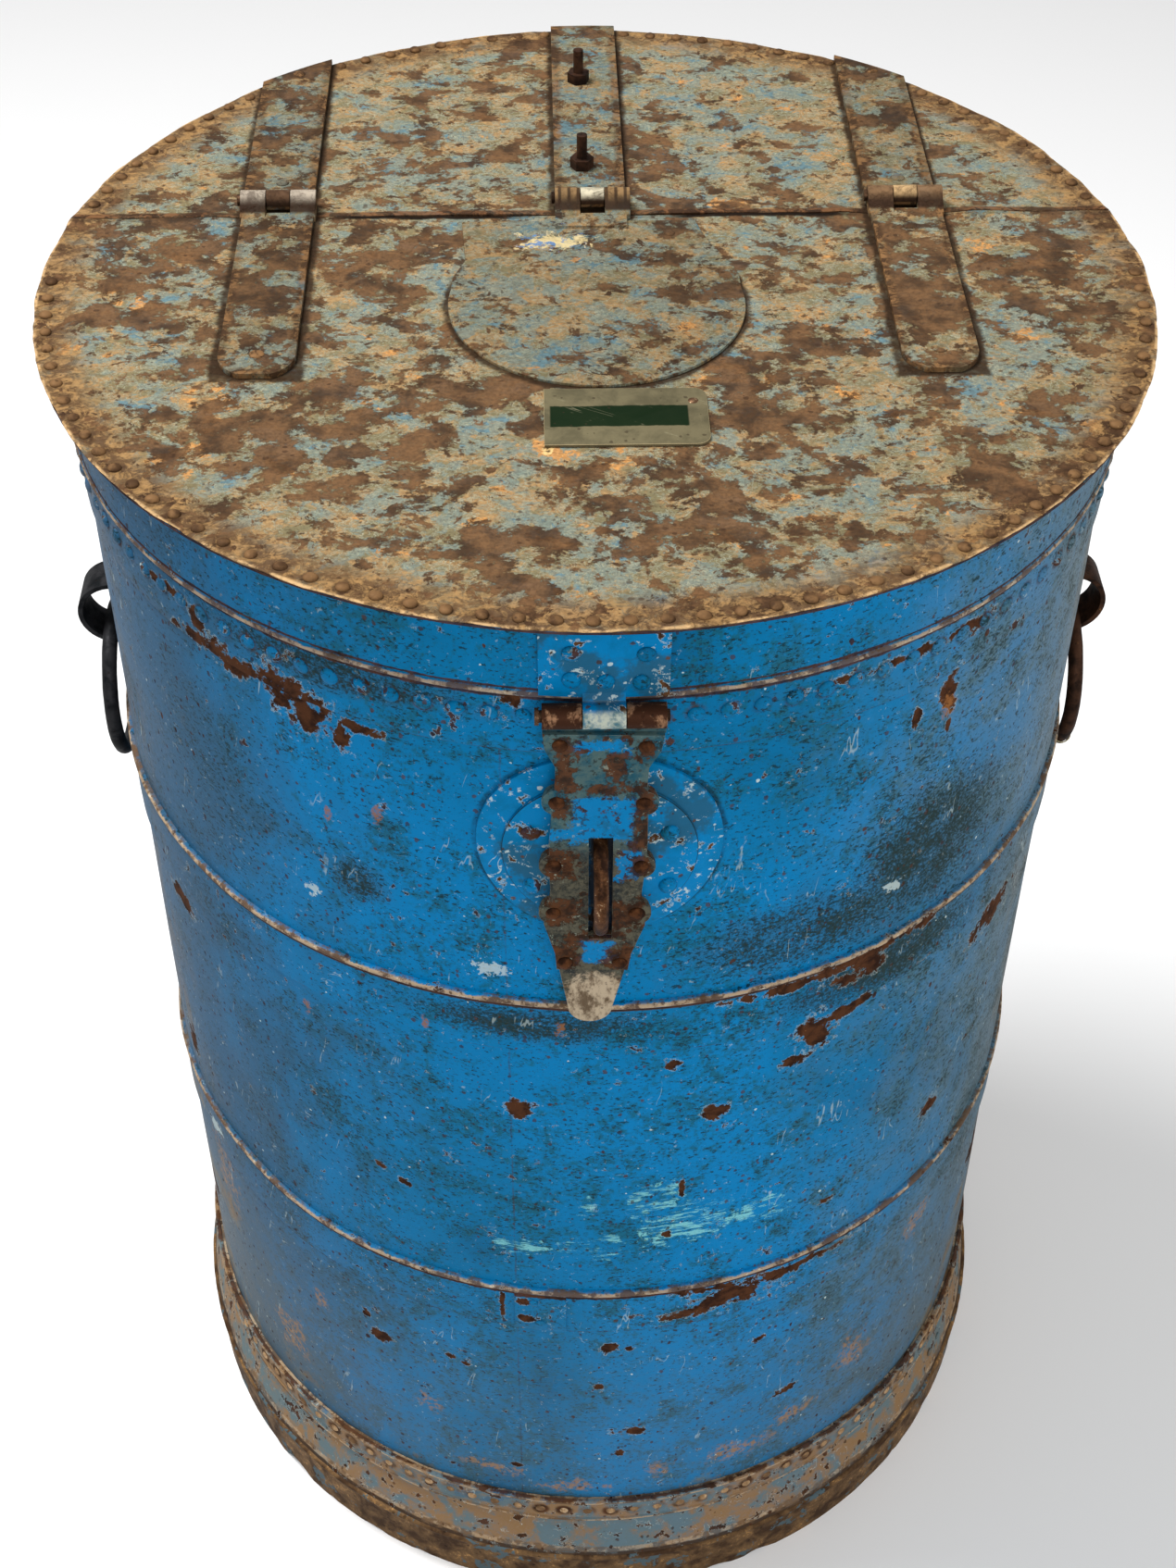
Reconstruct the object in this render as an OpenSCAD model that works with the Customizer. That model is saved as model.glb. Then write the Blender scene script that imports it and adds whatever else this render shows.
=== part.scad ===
// Riveted sheet-iron storage drum with a hinged front lid, a hasp and two ring handles.
// Origin: centre of the base on the floor. +Z up, the hasp faces -Y, the hinge line runs along X.

/* [Drum body] */
// Height of the lid's top face above the floor
drum_h = 888; // [740:1:1070]
// Outer radius of the body sheet
body_r = 284; // [235:1:342]
// Thickness of the body sheet
body_t = 2; // [1.5:0.1:3]
// Height of the plain band at the foot
foot_h = 43; // [35:1:60]
// How far the foot stands out past the body sheet
foot_flare = 11; // [6:0.5:16]
// Height of the flared skirt between the foot and the body sheet
flare_h = 37; // [28:1:50]
// Thickness of the foot band and of the flared skirt
foot_t = 2.2; // [1.5:0.1:4]
// Thickness of the bottom plate
bottom_t = 2; // [1.5:0.1:4]

/* [Hoops] */
// Width of the two rolling hoops
hoop_w = 42.5; // [30:0.5:60]
// Thickness of the hoop strip
hoop_t = 1.8; // [1.2:0.1:3]
// From the lid's top down to the upper hoop's top edge
upper_hoop_drop = 268; // [262:1:290]
// From the lid's top down to the lower hoop's top edge
lower_hoop_drop = 536.5; // [450:0.5:580]
// Width of the riveted hoop above the foot
base_hoop_w = 25; // [20:1:32]
// Rivets round the base hoop
base_rivet_n = 112; // [60:1:120]
// Width of the riveted collar below the lid's skirt
collar_w = 36; // [28:1:44]
// Rivets round the collar
collar_rivet_n = 110; // [60:1:120]

/* [Lid] */
// How far the lid's edge overhangs the body sheet
rim_overhang = 16; // [12:0.5:22]
// Thickness of the two top plates
top_t = 2; // [1.5:0.1:3]
// Depth of the lid's skirt below the top face
skirt_h = 52; // [44:1:60]
// Thickness of the skirt strip
skirt_t = 1.5; // [1:0.1:2.5]
// Running gap between the body sheet and the lid's skirt
skirt_gap = 1.2; // [0.9:0.1:2]
// How far behind the centre the moving part of the skirt ends
skirt_end_y = 16; // [6:1:18]
// Rivets round the rim, before those at the joint line are left out
rim_rivet_n = 110; // [60:1:120]

/* [Hinges] */
// How far behind the centre the hinge axis lies
hinge_y = 75; // [50:1:110]
// Height of the hinge axis above the top face
hinge_rise = 6; // [5.8:0.1:9]
// Outer radius of the hinge knuckles
knuckle_r = 5.5; // [4.5:0.1:5.6]
// Radius of the hinge pins
hinge_pin_r = 2.5; // [2:0.1:3]
// Width of a hinge strap
strap_w = 40; // [34:1:52]
// Thickness of a hinge strap
strap_t = 3; // [2:0.1:4]
// Distance of the side straps from the middle
strap_x = 176; // [140:1:190]
// How far the lid straps reach forward of the hinge axis
strap_reach = 171; // [120:1:200]

/* [Hasp] */
// Place of the hasp and its staple across the front
hasp_x = -3; // [-15:1:15]
// Half the width over the hasp's knuckles
hasp_half_w = 29; // [27:0.5:34]
// Outer radius of the hasp's knuckles
hasp_knuckle_r = 6.2; // [5.2:0.1:7]
// Radius of the hasp pin
hasp_pin_r = 3; // [2.4:0.1:3.6]
// From the lid's top down to the hasp's pin
hasp_pin_drop = 54.5; // [53:0.5:60]
// Length of the hasp below its pin
hasp_len = 216; // [200:1:250]
// Sideways lean of the bent hasp, in degrees
hasp_lean = 1.6; // [0:0.1:2]
// How far the staple lies to the left of the hasp's middle
staple_shift = 1; // [0:0.5:3]
// Radius of the staple's bar
staple_bar_r = 3.7; // [3:0.1:4.5]
// Distance between the staple's two legs
staple_pitch = 54.5; // [45:0.5:58]
// How far the staple stands out from the body sheet
staple_reach = 34; // [30:1:40]

/* [Handles] */
// Centre-line radius of a ring handle
ring_r = 46; // [38:1:55]
// Radius of a ring handle's bar
ring_bar_r = 5; // [4:0.1:5.4]
// From the lid's top down to the bar inside its eye
ring_drop = 231; // [225:1:240]
// Width of the strip that forms an eye
eye_w = 25; // [18:1:28]
// Thickness of the eye strip
eye_t = 3; // [2:0.1:4]

/* [Hidden] */

// Clearances
hole_gap = 0.1;      // rivet shank to its hole, on the radius
pin_gap = 0.05;      // hinge pin to its bore, on the radius
rest_gap = 0.3;      // between a piece that lifts off and what it rests on
seat_gap = 0.05;     // flat rivet tail to the round inside of a sheet
side_gap = 0.5;      // between neighbouring knuckles
collar_gap = 1.25;   // between the collar's lower edge and the staple's round plate
cut = 1;             // how far a cutter runs past a face

// Levels
shell_z = foot_h + flare_h;
mouth_z = drum_h - top_t - rest_gap;
skirt_z = drum_h - skirt_h;
collar_z = skirt_z - collar_w;
upper_hoop_z = drum_h - upper_hoop_drop - hoop_w;
lower_hoop_z = drum_h - lower_hoop_drop - hoop_w;
hinge_z = drum_h + hinge_rise;

// Radii
shell_in = body_r - body_t;
lid_r = body_r + rim_overhang;
skirt_in = body_r + skirt_gap;
skirt_r = skirt_in + skirt_t;
foot_r = body_r + foot_flare;
skirt_base_r = body_r + foot_t;      // outside of the flared skirt's top band
base_hoop_r = skirt_base_r + 1.7;
collar_r = body_r + hoop_t;

// Joint line of the two top plates
lid_edge_y = hinge_y - 8.5;
split_gap = 0.8;
rear_edge_y = lid_edge_y + split_gap;

// Rivets: head radius, head height, shank radius
plain_rivet = [4.5, 2, 2.2];
base_rivet = [3.2, 1.5, 1.6];
rim_rivet = [3.4, 1.8, 1.6];
strap_rivet = [4, 1.2, 2.2];
rim_rivet_r = lid_r - 7;
flange_t = 1.5;
flange_r = lid_r - 1;
flange_z = drum_h - top_t - flange_t;
lap_angle = -10.8;                   // where the lower hoop's ends overlap

// Hasp and staple
hanger_half_w = hasp_half_w + 1.5;
hanger_t = 3;
hanger_top_drop = 11;
hanger_low_drop = hasp_pin_drop - hasp_knuckle_r;
hanger_knuckle_half = 10;
hasp_axis_y = -(skirt_r + hanger_t + hasp_knuckle_r - 0.4);
hasp_axis_z = drum_h - hasp_pin_drop;
hasp_t = 3;
hasp_back_y = hasp_axis_y + hasp_t;
hasp_front_y = hasp_back_y - 2 * hasp_t;
staple_drop = 113.25;                // from the hasp's pin down to the staple's middle
staple_x = hasp_x - staple_shift;
staple_z = hasp_axis_z - staple_drop;
staple_tip_y = -(body_r + staple_reach);
plate_outer_r = 61.5;
plate_inner_r = 49;
plate_outer_z = collar_z - collar_gap - plate_outer_r;
plate_inner_z = plate_outer_z - 3.5;
plate_t = 2;
// Rows of hasp rivets: height from the pin, distance from the middle
hasp_rivet_rows = [[-16.5, 20.3], [-53.5, 21], [-96.5, 21.5], [-130, 21], [-167, 14]];

// Handles
eye_reach = 26;                      // how far an eye stands out from the body
eye_z = drum_h - ring_drop;
eye_in_bottom = ring_bar_r + 3.2;    // from the bar's centre down to the eye's inside
eye_in_top = 30;                     // from the bar's centre up to the eye's inside
eye_foot = 24;                       // length of each foot of the eye
ring_x = body_r + 8;
ring_z = eye_z - ring_r;

// Lid furniture
centre_disc_r = 79;
centre_disc_y = -28;
centre_tab_y = hinge_y - 18;
// Outline of the tab behind the round plate: a step at its left, a sloping shoulder at its right
centre_tab = [[-78, -18], [-77, -2], [-72.5, 10], [-70.6, 15.5], [-71.4, 30], [-73.2, centre_tab_y],
    [57, centre_tab_y], [59.5, 46], [63.5, 33], [69, 21], [74.5, 11], [77.5, -2], [78, -18]];
centre_t = 1.5;
bolt_y = [116, 223];
bolt_x = -5;
bolt_r = 3;
bolt_h = 20;                         // stud standing above the strap
nut_h = 6;
strap_bumps = [47, -78];             // the lid straps' rivets, along Y

sheet = "steelblue";
dark = "sienna";
rust = "saddlebrown";
patina = "darkseagreen";

// ---- Shared shapes ----

// Plain hoop of rectangular section, given by its outside radius
module hoop(r, t, z, h) {
    translate([0, 0, z]) rotate_extrude($fn = 180)
        translate([r - t, 0]) square([t, h]);
}

// Domed head on z = 0 with its shank below and a flat tail under the grip
module rivet(size, grip, tail = 1) {
    head_r = size[0];
    head_h = size[1];
    dome_r = (head_r * head_r + head_h * head_h) / (2 * head_h);
    intersection() {
        translate([0, 0, head_h - dome_r]) sphere(dome_r, $fn = 48);
        cylinder(r = head_r, h = head_h + cut, $fn = 24);
    }
    translate([0, 0, -grip - (tail > 0 ? 0.2 : 0)])
        cylinder(r = size[2], h = grip + (tail > 0 ? 0.4 : 0.2), $fn = 20);
    if (tail > 0)
        translate([0, 0, -grip - tail - seat_gap]) cylinder(r = size[2] * 1.5, h = tail, $fn = 20);
}

// Places children on a circle of radius r at height z, with local Z pointing outwards
module outward(angle, r, z) {
    rotate([0, 0, angle]) translate([0, -r, z]) rotate([90, 0, 0]) children();
}

// The angles of n even steps that start half a step from the front
function steps(n) = [for (i = [0 : n - 1]) (i + 0.5) * 360 / n];

module radial_holes(angles, r, z, hole_r, depth) {
    for (a = angles)
        outward(a, r + cut, z) translate([0, 0, -depth - 2 * cut]) cylinder(r = hole_r, h = depth + 2 * cut, $fn = 20);
}

// Everything in front of (or behind) a line across the drum
module before(y, z, h) { translate([-2 * lid_r, -4 * lid_r + y, z]) cube([4 * lid_r, 4 * lid_r, h]); }
module behind(y, z, h) { translate([-2 * lid_r, y, z]) cube([4 * lid_r, 4 * lid_r, h]); }

// Bar of the drum's front, between two half widths about hasp_x
module front_slab(half_w, z, h) {
    translate([hasp_x - half_w, -2 * body_r, z]) cube([2 * half_w, 2 * body_r, h]);
}

// ---- Body ----

collar_rivet_z = collar_z + 23;
base_rivet_z = shell_z + base_hoop_w / 2;

module body_shell() {
    color(sheet) difference() {
        hoop(body_r, body_t, shell_z, mouth_z - shell_z);
        radial_holes(steps(collar_rivet_n), body_r, collar_rivet_z, plain_rivet[2] + hole_gap, body_t);
        radial_holes(steps(base_rivet_n), body_r, base_rivet_z, base_rivet[2] + hole_gap, body_t);
        front_holes(body_r, body_t);
        eye_holes();
        radial_holes(rear_angles, body_r, rear_rivet_z, strap_rivet[2] + hole_gap, body_t);
    }
}

module mouth_ring() {
    color(dark) difference() {
        hoop(shell_in, 2, collar_z, collar_w);
        radial_holes(steps(collar_rivet_n), shell_in, collar_rivet_z, plain_rivet[2] + hole_gap, 2);
    }
}

module collar_band() {
    color(sheet) difference() {
        hoop(collar_r, hoop_t, collar_z, collar_w - rest_gap);
        radial_holes(steps(collar_rivet_n), collar_r, collar_rivet_z, plain_rivet[2] + hole_gap, hoop_t);
    }
}

module collar_rivets() {
    color(dark) for (a = steps(collar_rivet_n))
        outward(a, collar_r, collar_rivet_z) rivet(plain_rivet, hoop_t + body_t + 2);
}

module upper_hoop() { color(sheet) hoop(body_r + hoop_t, hoop_t, upper_hoop_z, hoop_w); }

hoop_rivet_places = [[lap_angle + 2.4, 0.71], [lap_angle + 3.2, 0.22]];

// The strip's free end lies on top of its own start, so a short length is doubled
module lower_hoop() {
    color(sheet) difference() {
        union() {
            hoop(body_r + hoop_t, hoop_t, lower_hoop_z, hoop_w);
            intersection() {
                hoop(body_r + 2 * hoop_t, 1.5 * hoop_t, lower_hoop_z + 1, hoop_w - 2);
                rotate([0, 0, lap_angle]) translate([0, -2 * body_r, 0]) cube([32, 2 * body_r, drum_h]);
            }
        }
        for (p = hoop_rivet_places)
            radial_holes([p[0]], body_r + 2 * hoop_t, lower_hoop_z + p[1] * hoop_w,
                base_rivet[2] + hole_gap, 2 * hoop_t);
    }
}

module lower_hoop_rivets() {
    color(dark) for (p = hoop_rivet_places)
        outward(p[0], body_r + 2 * hoop_t, lower_hoop_z + p[1] * hoop_w) rivet(base_rivet, 2 * hoop_t - 0.1, 0);
}

// Strip with a raised bead along each edge
module base_hoop() {
    color(dark) difference() {
        rotate_extrude($fn = 180) {
            translate([skirt_base_r, shell_z]) square([base_hoop_r - skirt_base_r, base_hoop_w]);
            for (z = [shell_z + 1.6, shell_z + base_hoop_w - 1.6])
                translate([base_hoop_r, z]) circle(r = 1.5, $fn = 16);
        }
        radial_holes(steps(base_rivet_n), base_hoop_r, base_rivet_z, base_rivet[2] + hole_gap, base_hoop_r - skirt_base_r);
    }
}

module base_rivets() {
    color(dark) for (a = steps(base_rivet_n))
        outward(a, base_hoop_r, base_rivet_z) rivet(base_rivet, base_hoop_r - shell_in + bottom_t);
}

skirt_lap_angle = 66;
skirt_rivet_angles = [skirt_lap_angle - 3.4, skirt_lap_angle - 6.5];

flare_slope = atan((foot_r - skirt_base_r) / flare_h);

// Places children square to the flared skirt, half way up it
module on_flare(angle) {
    outward(angle, (foot_r + skirt_base_r) / 2, foot_h + flare_h / 2) rotate([-flare_slope, 0, 0]) children();
}

module base_skirt() {
    color(sheet) difference() {
        rotate_extrude($fn = 180) polygon([
            [foot_r - foot_t, foot_h], [foot_r, foot_h], [skirt_base_r, shell_z],
            [skirt_base_r, shell_z + base_hoop_w - 1], [body_r, shell_z + base_hoop_w - 1],
            [body_r, shell_z]
        ]);
        radial_holes(steps(base_rivet_n), skirt_base_r, base_rivet_z, base_rivet[2] + hole_gap, foot_t);
        for (a = skirt_rivet_angles)
            on_flare(a) translate([0, 0, -3 * foot_t]) cylinder(r = base_rivet[2] + hole_gap, h = 5 * foot_t, $fn = 20);
    }
}

module base_skirt_rivets() {
    color(dark) for (a = skirt_rivet_angles) on_flare(a) rivet(base_rivet, foot_t, 0);
}

// Plain band with a rolled bead under the skirt's lower edge
module foot_ring() {
    color(rust) rotate_extrude($fn = 180) {
        translate([foot_r - foot_t, 0]) square([foot_t, foot_h]);
        translate([foot_r, foot_h - 2.3]) circle(r = 2.3, $fn = 20);
    }
}

// Flanged disc, its flange turned down inside the body sheet
module bottom_head() {
    color(rust) difference() {
        union() {
            translate([0, 0, shell_z + base_hoop_w]) cylinder(r = shell_in, h = bottom_t, $fn = 180);
            hoop(shell_in, bottom_t, shell_z + 2, base_hoop_w - 1);
        }
        radial_holes(steps(base_rivet_n), shell_in, base_rivet_z, base_rivet[2] + hole_gap, bottom_t);
    }
}

// ---- Rear part of the top ----

rear_angles = [for (i = [-4 : 4]) 180 + i * 17];
rear_rivet_z = skirt_z + 24;

function rim_y(a) = -rim_rivet_r * cos(a);
function rim_x(a) = rim_rivet_r * sin(a);
// Clear of the three rear straps
function beside_straps(a) =
    min([for (x = [-strap_x, 0, strap_x]) abs(rim_x(a) - x)]) > strap_w / 2 + rim_rivet[0] + 1;
rear_rim_angles = [for (a = steps(rim_rivet_n)) if (rim_y(a) > rear_edge_y + 6 && beside_straps(a)) a];
lid_rim_angles = [for (a = steps(rim_rivet_n)) if (rim_y(a) < skirt_end_y - 5) a];

module rim_holes(angles) {
    for (a = angles)
        rotate([0, 0, a]) translate([0, -rim_rivet_r, flange_z - cut])
            cylinder(r = rim_rivet[2] + hole_gap, h = flange_t + top_t + 2 * cut, $fn = 20);
}

module rim_rivets(angles) {
    color(dark) for (a = angles)
        rotate([0, 0, a]) translate([0, -rim_rivet_r, drum_h]) rivet(rim_rivet, top_t + flange_t, 1.2);
}

rear_bump_y = [[100, 1], [sqrt(pow(rim_rivet_r, 2) - pow(strap_x, 2)), 0]];

// Where the side straps' rivets pass through the rear plate
module strap_holes(r) {
    for (x = [-strap_x, strap_x], p = rear_bump_y)
        translate([x, p[0], flange_z - cut]) cylinder(r = r, h = 12, $fn = 20);
}
module bolt_holes(r) {
    for (y = bolt_y) translate([bolt_x, y, drum_h - 12]) cylinder(r = r, h = 24, $fn = 24);
}

module rear_top_plate() {
    color(patina) difference() {
        intersection() {
            translate([0, 0, drum_h - top_t]) cylinder(r = lid_r, h = top_t, $fn = 180);
            behind(rear_edge_y, drum_h - 2 * top_t, 4 * top_t);
        }
        rim_holes(rear_rim_angles);
        strap_holes(strap_rivet[2] + hole_gap);
        bolt_holes(bolt_r + hole_gap);
    }
}

// Vertical leg round the body sheet, and a flange under the rear plate's edge
module rear_rim_angle() {
    leg_r = body_r + skirt_t;
    color(sheet) difference() {
        union() {
            intersection() {
                hoop(leg_r, skirt_t, skirt_z, mouth_z - skirt_z);
                behind(skirt_end_y + 1.5, skirt_z - cut, skirt_h + 2 * cut);
            }
            intersection() {
                hoop(flange_r, flange_r - body_r, flange_z, flange_t);
                behind(rear_edge_y + 1, flange_z - cut, 4);
            }
        }
        rim_holes(rear_rim_angles);
        strap_holes(strap_rivet[2] + hole_gap);
        radial_holes(rear_angles, leg_r, rear_rivet_z, strap_rivet[2] + hole_gap, skirt_t);
    }
}

module rear_rim_rivets() {
    rim_rivets(rear_rim_angles);
    color(dark) for (a = rear_angles)
        outward(a, body_r + skirt_t, rear_rivet_z) rivet(strap_rivet, skirt_t + body_t);
}

// ---- Hinges ----

knuckle_half = strap_w / 2 + 1;
knuckle_mid = 6.5;                   // half width of the middle knuckle

module knuckle(x0, x1) {
    translate([x0, hinge_y, hinge_z]) rotate([0, 90, 0]) cylinder(r = knuckle_r, h = x1 - x0, $fn = 40);
}
module pin_bore(x) {
    translate([x - strap_w, hinge_y, hinge_z]) rotate([0, 90, 0])
        cylinder(r = hinge_pin_r + pin_gap, h = 2 * strap_w, $fn = 32);
}
// Gusset between a leaf and its knuckle; side is -1 for the lid and +1 for the rear
module web(x0, x1, side) {
    translate([x0, hinge_y, drum_h]) rotate([90, 0, 90]) linear_extrude(x1 - x0) polygon([
        [side * 14, 0], [side * 14, strap_t], [side * 4.5, hinge_rise + 2.8],
        [0, hinge_rise], [side * 3, 1.2], [side * 8.5, 0]
    ]);
}

module rear_leaf(x) {
    leaf_y = hinge_y + 9;
    difference() {
        union() {
            intersection() {
                translate([x - knuckle_half, leaf_y, drum_h]) cube([strap_w, lid_r, strap_t]);
                translate([0, 0, drum_h - cut]) cylinder(r = lid_r - 1, h = 3 * strap_t, $fn = 180);
            }
            web(x - knuckle_mid, x + knuckle_mid, 1);
            knuckle(x - knuckle_mid, x + knuckle_mid);
        }
        pin_bore(x);
    }
}

module lid_leaf_knuckles(x) {
    for (s = [-1, 1]) {
        a = x + s * (knuckle_mid + side_gap);
        b = x + s * knuckle_half;
        knuckle(min(a, b), max(a, b));
        web(min(a, b), max(a, b), -1);
    }
}

module rear_strap_left() {
    color(patina) difference() { rear_leaf(-strap_x); strap_holes(strap_rivet[2] + hole_gap); }
}
module rear_strap_right() {
    color(patina) difference() { rear_leaf(strap_x); strap_holes(strap_rivet[2] + hole_gap); }
}
module rear_strap_middle() {
    color(patina) difference() { rear_leaf(0); bolt_holes(bolt_r + hole_gap); }
}

module rear_strap_rivets() {
    color(rust) for (x = [-strap_x, strap_x], p = rear_bump_y)
        translate([x, p[0], drum_h + strap_t])
            rivet(strap_rivet, strap_t + top_t + (p[1] > 0 ? 0 : flange_t));
}

// Square-headed bolts from below, their threaded ends standing up through the strap
module strap_bolts() {
    color(rust) for (y = bolt_y) translate([bolt_x, y, 0]) {
        translate([0, 0, drum_h - top_t - 4]) cylinder(r = 6.5, h = 4 - seat_gap, $fn = 6);
        translate([0, 0, drum_h - top_t - 1]) cylinder(r = bolt_r, h = top_t + 1 + strap_t + bolt_h, $fn = 24);
    }
}

module strap_nuts() {
    color(rust) for (i = [0, 1]) translate([bolt_x, bolt_y[i], drum_h + strap_t]) rotate([0, 0, 14 * i])
        difference() {
            cylinder(r = 6.8, h = nut_h, $fn = 6);
            translate([0, 0, -cut]) cylinder(r = bolt_r + pin_gap, h = nut_h + 2 * cut, $fn = 24);
        }
}

module hinge_pins() {
    color(dark) for (x = [-strap_x, 0, strap_x]) translate([x - knuckle_half, hinge_y, hinge_z]) rotate([0, 90, 0]) {
        translate([0, 0, -1.5]) cylinder(r = hinge_pin_r, h = strap_w + 3.5, $fn = 32);
        translate([0, 0, -2]) cylinder(r = hinge_pin_r + 0.8, h = 1.7, $fn = 32);
    }
}

// ---- Handles ----

// Eye outline in the plane across the drum: X outwards from the body sheet, Y up from the bar's centre
module eye_loop(grow) {
    top = eye_in_top + grow;
    low = -eye_in_bottom - grow;
    half = (top - low) / 2;
    round_r = min(half, eye_reach - eye_t - 2) + (grow > 0 ? 1 : 0);
    hull() {
        translate([-6, low]) square([6, top - low]);
        translate([eye_reach - eye_t + grow - round_r, low + round_r]) circle(r = round_r, $fn = 48);
        translate([eye_reach - eye_t + grow - round_r - 3, top - round_r]) circle(r = round_r, $fn = 48);
    }
}

eye_foot_top = [eye_in_top + eye_t - 1, eye_in_top + eye_t + eye_foot];
eye_foot_low = [-eye_in_bottom - eye_t - eye_foot, -eye_in_bottom - eye_t + 1];
eye_rivet_z = [eye_z + eye_foot_top[1] - eye_foot / 2 + 2, eye_z + eye_foot_low[0] + eye_foot / 2 - 2];

module eye_holes() {
    for (a = [-90, 90], z = eye_rivet_z) radial_holes([a], body_r + eye_t, z, strap_rivet[2] + hole_gap, body_t + eye_t);
}

// Strip bent to a loop, with a foot above and a foot below it on the body
module handle_eye(side) {
    difference() {
        union() {
            rotate([0, 0, side > 0 ? 0 : 180]) translate([body_r, eye_w / 2, eye_z]) rotate([90, 0, 0])
                linear_extrude(eye_w) difference() {
                    eye_loop(eye_t);
                    eye_loop(0);
                }
            for (f = [eye_foot_top, eye_foot_low]) intersection() {
                hoop(body_r + eye_t, eye_t, eye_z + f[0], f[1] - f[0]);
                translate([side > 0 ? 0 : -2 * body_r, -eye_w / 2, 0]) cube([2 * body_r, eye_w, drum_h]);
            }
        }
        translate([0, 0, eye_z - 100]) cylinder(r = body_r, h = 200, $fn = 180);
        eye_holes();
    }
}
module handle_eye_left() { color(rust) handle_eye(-1); }
module handle_eye_right() { color(rust) handle_eye(1); }

module handle_eye_rivets() {
    color(rust) for (a = [-90, 90], z = eye_rivet_z)
        outward(a, body_r + eye_t, z) rivet(strap_rivet, eye_t + body_t);
}

module ring_handle(side) {
    translate([side * ring_x, 0, ring_z]) rotate([0, 90, 0]) rotate_extrude($fn = 90)
        translate([ring_r, 0]) circle(r = ring_bar_r, $fn = 32);
}
module ring_left() { color(rust) ring_handle(-1); }
module ring_right() { color(rust) ring_handle(1); }

binding_t = 0.6;
// Thin band bound round the right ring's bar
module ring_binding() {
    color("tan") translate([ring_x, 0, ring_z]) rotate([0, 90, 0]) rotate([0, 0, -52]) rotate_extrude(angle = 7, $fn = 90)
        translate([ring_r, 0]) difference() {
            circle(r = ring_bar_r + binding_t, $fn = 32);
            circle(r = ring_bar_r, $fn = 32);
        }
}

// ---- Staple ----

// Four rivets through the two staple plates: height above the staple's middle, distance across
staple_rivet_z = [27.5, -9.5];
staple_rivet_half = 34.3;
plate_rivet = [5, 2.6, 2.2];
function across(x, r) = asin(x / r);
staple_rivet_angles = [for (s = [-1, 1]) across(staple_x + s * staple_rivet_half, body_r + 2 * plate_t)];

// Holes for the staple's legs and for its plates' rivets
module front_holes(r, t) {
    for (s = [-1, 1]) translate([staple_x, -r - cut, staple_z + s * staple_pitch / 2]) rotate([-90, 0, 0])
        cylinder(r = staple_bar_r + hole_gap, h = t + 3 * cut, $fn = 28);
    for (z = staple_rivet_z)
        radial_holes(staple_rivet_angles, r, staple_z + z, plate_rivet[2] + hole_gap, t);
}

module staple_disc(inner, t, r, z) {
    difference() {
        intersection() {
            hoop(inner + t, t, z - r - cut, 2 * (r + cut));
            translate([staple_x, 0, z]) rotate([90, 0, 0]) cylinder(r = r, h = 2 * body_r, $fn = 120);
        }
        front_holes(inner + t, t);
    }
}
module staple_plate_outer() { color(sheet) staple_disc(body_r, plate_t, plate_outer_r, plate_outer_z); }
module staple_plate_inner() { color(sheet) staple_disc(body_r + plate_t, plate_t, plate_inner_r, plate_inner_z); }

module staple_plate_rivets() {
    color(dark) for (a = staple_rivet_angles, z = staple_rivet_z)
        outward(a, body_r + 2 * plate_t, staple_z + z) rivet(plate_rivet, 2 * plate_t + body_t);
}

// Bar bent to a D in the upright plane, its legs peened over inside the drum
module staple() {
    arc_r = staple_pitch / 2;
    arc_y = staple_tip_y + arc_r + staple_bar_r;
    leg_end = -(shell_in - 4);
    color(rust) translate([staple_x, 0, staple_z]) {
        translate([0, arc_y, 0]) rotate([0, 90, 0]) rotate([0, 0, 180]) rotate_extrude(angle = 180, $fn = 72)
            translate([arc_r, 0]) circle(r = staple_bar_r, $fn = 32);
        for (s = [-1, 1]) translate([0, 0, s * arc_r]) {
            translate([0, arc_y, 0]) rotate([-90, 0, 0]) cylinder(r = staple_bar_r, h = leg_end - arc_y, $fn = 32);
            translate([0, leg_end - 3.4, 0]) rotate([-90, 0, 0]) cylinder(r = 7, h = 3, $fn = 28);
        }
    }
}

// ---- Lid ----

module lid_strap_holes(r) {
    for (x = [-strap_x, strap_x], y = strap_bumps) translate([x, y, drum_h - 10]) cylinder(r = r, h = 20, $fn = 20);
}
module centre_rivet_holes(r) {
    for (s = [-1, 1]) translate([s * 42, 43, drum_h - 10]) cylinder(r = r, h = 20, $fn = 20);
}
tag_x = 12;
tag_y = -134;
tag_w = 82;
tag_d = 49;
tag_hole = [tag_x + 34, tag_y + 13];
module tag_bore(r) { translate([tag_hole[0], tag_hole[1], drum_h - 10]) cylinder(r = r, h = 20, $fn = 20); }

module lid_plate() {
    color(patina) difference() {
        intersection() {
            translate([0, 0, drum_h - top_t]) cylinder(r = lid_r, h = top_t, $fn = 180);
            before(lid_edge_y, drum_h - 2 * top_t, 4 * top_t);
        }
        rim_holes(lid_rim_angles);
        lid_strap_holes(strap_rivet[2] + hole_gap);
        centre_rivet_holes(base_rivet[2] + hole_gap);
        tag_bore(1.6);
    }
}

hanger_rivet = [4.8, 2.2, 2.2];
// Distance across from the hasp's middle, and depth below the top face
hanger_rivet_places = [[-15, 22], [19, 23], [-15, 38], [0.7, 38.4], [17, 39.5]];

module hanger_holes() {
    for (p = hanger_rivet_places)
        radial_holes([across(hasp_x + p[0], skirt_r)], skirt_r + hanger_t, drum_h - p[1],
            hanger_rivet[2] + hole_gap, hanger_t + skirt_t);
}

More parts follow.
